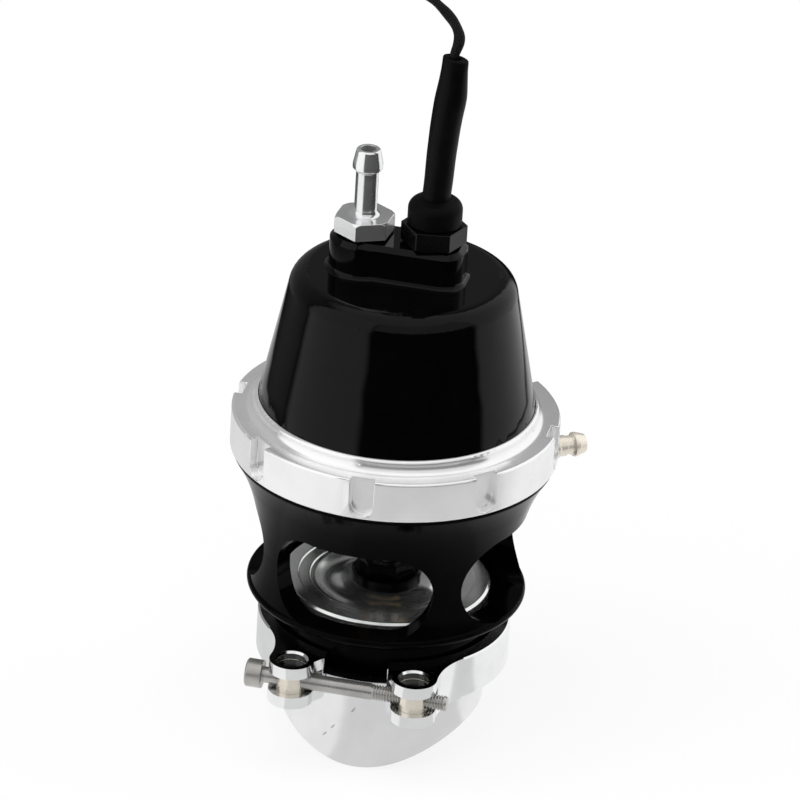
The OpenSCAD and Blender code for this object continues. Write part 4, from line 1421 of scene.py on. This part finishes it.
@dataclass
class DiaphragmPack:
    """The diaphragm and the spring, which give way as the valve lifts.

    Attributes:
        stem_r: radius of the diaphragm's hole for the stem.
        web_low, web_t: underside and thickness of its web.
        bead_z, foot_z: underside and top of its bead.
        bead_in, bead_r: inner and outer radius of the bead.
        roll_r: radius at which the web starts to slope.
        web_out, web_in: how far the slope's lower and upper face stand off the bead's and the roll's radius.
        edge: rounding of its edges.
        spring_r, wire_r: radius of the spring, to the wire's middle, and of its wire.
        spring_low, spring_high: the spring's ends.
        turns, end_turn, end_rise: its turns, the flat turns at each end, and the share that they rise.
        lift: the valve's lift; not used.
    """

    stem_r: float = 3.05
    web_low: float = 58.4
    web_t: float = 1.0
    bead_z: float = 69.0
    foot_z: float = 71.0
    bead_in: float = 30.6
    bead_r: float = 36.0
    roll_r: float = 21.6
    web_out: float = 0.6
    web_in: float = 0.8
    edge: float = 0.3
    spring_r: float = 15.5
    wire_r: float = 1.3
    spring_low: float = 61.4
    spring_high: float = 108.5
    turns: float = 6.5
    end_turn: float = 0.75
    end_rise: float = 0.09
    lift: float = 9.0

    def build(self) -> None:
        """Makes the diaphragm and the spring, and gives each a mesh of its own."""
        web = dress_skin("rubber_diaphragm", self.diaphragm(), BROWN_RUBBER, "diaphragm")
        coil = dress_skin("coil_spring", self.spring(), GROUND_STEEL, "spring")
        for piece, low, high in ((web, self.web_low, self.foot_z), (coil, self.spring_low, self.spring_high)):
            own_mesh(piece)

    def diaphragm(self) -> Skin:
        """The diaphragm: a closed profile turned about Z, with a bead, a sloping web and a flat middle.

        Returns:
            The diaphragm's skin.
        """
        low, top = self.web_low, self.web_low + self.web_t
        line = rounded(
            [
                [self.stem_r, low], [self.roll_r, low], [self.bead_in + self.web_out, self.bead_z],
                [self.bead_r, self.bead_z], [self.bead_r, self.foot_z],
                [self.bead_in - self.web_out, self.foot_z], [self.roll_r - self.web_in, top],
                [self.stem_r, top],
            ],
            self.edge, closed=True,
        )
        return Skin(turned(line, columns=128), loop=True)

    def spring(self) -> Skin:
        """The spring: a round wire along a helix, with flat end turns.

        The wire's middle is (R cos a, R sin a, z(t)), and z rises slowly over the end turns and evenly
        between them.

        Returns:
            The spring's skin.
        """
        t = np.linspace(0, 1, num=520)
        a = TAU * self.turns * t
        flat = self.end_turn / self.turns
        rise = np.interp(t, [0, flat, 1 - flat, 1], [0, self.end_rise, 1 - self.end_rise, 1])
        low, high = self.spring_low + self.wire_r, self.spring_high - self.wire_r
        x, y = self.spring_r * np.cos(a), self.spring_r * np.sin(a)
        path = np.stack([x, y, low + (high - low) * rise], axis=1)
        return Skin(swept(path, np.full((1, 1), self.wire_r), UP, columns=18))


@dataclass
class Housing:
    """The body, the collar and the cap, with the bush and the seal of the stem.

    Attributes:
        top_z, top_r, slope: height of the cap's flat top, its radius before rounding, and the cone's slope.
        edge: radii of the rounding round the top in the solid and here.
        lift: how much higher the flat top is here.
        column: place and radius of the port block's round end.
        half_w, end_x, corner_r: half width of the block, its other end and that end's corners.
        fillet: radius of the hollow at its foot.
        sunk, skirt: how deep the hollow's edges and its hidden sides lie in the cap and the block.
    """

    top_z: float = 112.0
    top_r: float = 27.2
    slope: float = 11.29
    edge: Pair = (2.0, 5.0)
    lift: float = 1.4
    column: Pair = (-10.5, 8.2)
    half_w: float = 7.2
    end_x: float = 14.7
    corner_r: float = 5.0
    fillet: float = 1.6
    sunk: float = 0.05
    skirt: float = 0.4

    def build(self) -> None:
        """Makes the body, the collar, the cap, the bush and the seal."""
        dress_solid("body", SATIN_BLACK)
        dress_solid("collar", COLLAR_BRIGHT, bevel=0.22, bevel_from=36.0)
        dress_solid("cap", GLOSS_BLACK, extra=self.block_foot(), reshape=self.crown)
        dress_solid("guide_bush", BRONZE)
        dress_solid("stem_seal", BLACK_RUBBER)

    def crown(self, points: np.ndarray) -> np.ndarray:
        """Draws the cap's top edge with a larger rounding, and its flat top a little higher.

        A point of the solid's rounding at angle t goes to angle t of the larger circle, which touches the
        same cone and the lifted top. The other points stay, but for the flat top's, which are lifted.

        Args:
            points: the cap's points in millimetres.

        Returns:
            The moved points.
        """
        near_edge, near_top, near_angle = 0.02, 0.01, 0.01
        slope = math.radians(self.slope)
        inset = (1 - math.sin(slope)) / math.cos(slope)
        small, large = self.edge
        old_r, old_z = self.top_r - small * inset, self.top_z - small
        new_r = self.top_r - self.lift * math.tan(slope) - large * inset
        new_z = self.top_z + self.lift - large
        x, y, z = points.T
        reach = np.hypot(x, y)
        turn = np.arctan2(z - old_z, reach - old_r)
        on_edge = np.abs(np.hypot(reach - old_r, z - old_z) - small) < near_edge
        on_edge &= (turn > slope - near_angle) & (turn < math.pi / 2 + near_angle)
        on_top = ~on_edge & (np.abs(z - self.top_z) < near_top)
        scale = np.where(on_edge, (new_r + large * np.cos(turn)) / np.maximum(reach, TINY), 1.0)
        height = np.where(on_edge, new_z + large * np.sin(turn), np.where(on_top, self.top_z + self.lift, z))
        return np.stack([x * scale, y * scale, height], axis=1)

    def block_foot(self) -> Skin:
        """The hollow at the foot of the port block, a quarter circle drawn round the block's outline.

        Outline point o_i has outward direction n_i; profile point (d_j, h_j) goes to o_i + d_j n_i at height
        h_j.

        Returns:
            The hollow's closed skin.
        """
        x, r = self.column
        turn = math.degrees(math.asin(self.half_w / r))
        corner_x, corner_y = self.end_x - self.corner_r, self.half_w - self.corner_r
        arcs = (
            ((x, 0.0), r, turn, 360 - turn),
            ((corner_x, -corner_y), self.corner_r, 270, 360),
            ((corner_x, corner_y), self.corner_r, 0, 90),
        )
        outline = np.concatenate([arc(*bend, steps=33) for bend in arcs])
        away = np.concatenate([arc((0.0, 0.0), 1.0, *turns, steps=33) for _, _, *turns in arcs])
        f, low, top = self.fillet, -self.skirt, self.fillet - self.sunk
        hollow = arc((f, f), f, 180, 270, steps=13) - self.sunk
        profile = np.concatenate([[[low, top]], hollow, [[top, low], [low, low]]])
        plan = outline[None] + profile[:, :1, None] * away[None]
        height = np.broadcast_to(self.top_z + self.lift + profile[:, 1:], plan.shape[:2])
        return Skin(np.concatenate([plan, height[..., None]], axis=-1), loop=True)


@dataclass
class HosePorts:
    """The bright nipple on the cap and the small one below the collar.

    Attributes:
        top_edge, side_edge: rounding of the edges of the one and of the other.
    """

    top_edge: float = 0.12
    side_edge: float = 0.1

    def build(self) -> None:
        """Makes both nipples and the washer."""
        dress_solid("top_nipple", NIPPLE_BRIGHT, bevel=self.top_edge)
        dress_solid("nipple_washer", BLACK_RUBBER)
        dress_solid("side_nipple", WARM_NICKEL, bevel=self.side_edge)


def main() -> None:
    """Builds the studio and the valve, piece by piece."""
    logging.basicConfig(level=logging.INFO, format="%(message)s")
    valve = PositionSensor, WeldFlange, VClamp, Housing, HosePorts, MovingValve, DiaphragmPack
    for assembly in (Studio, *valve):
        assembly().build()


if __name__ == "__main__":
    main()
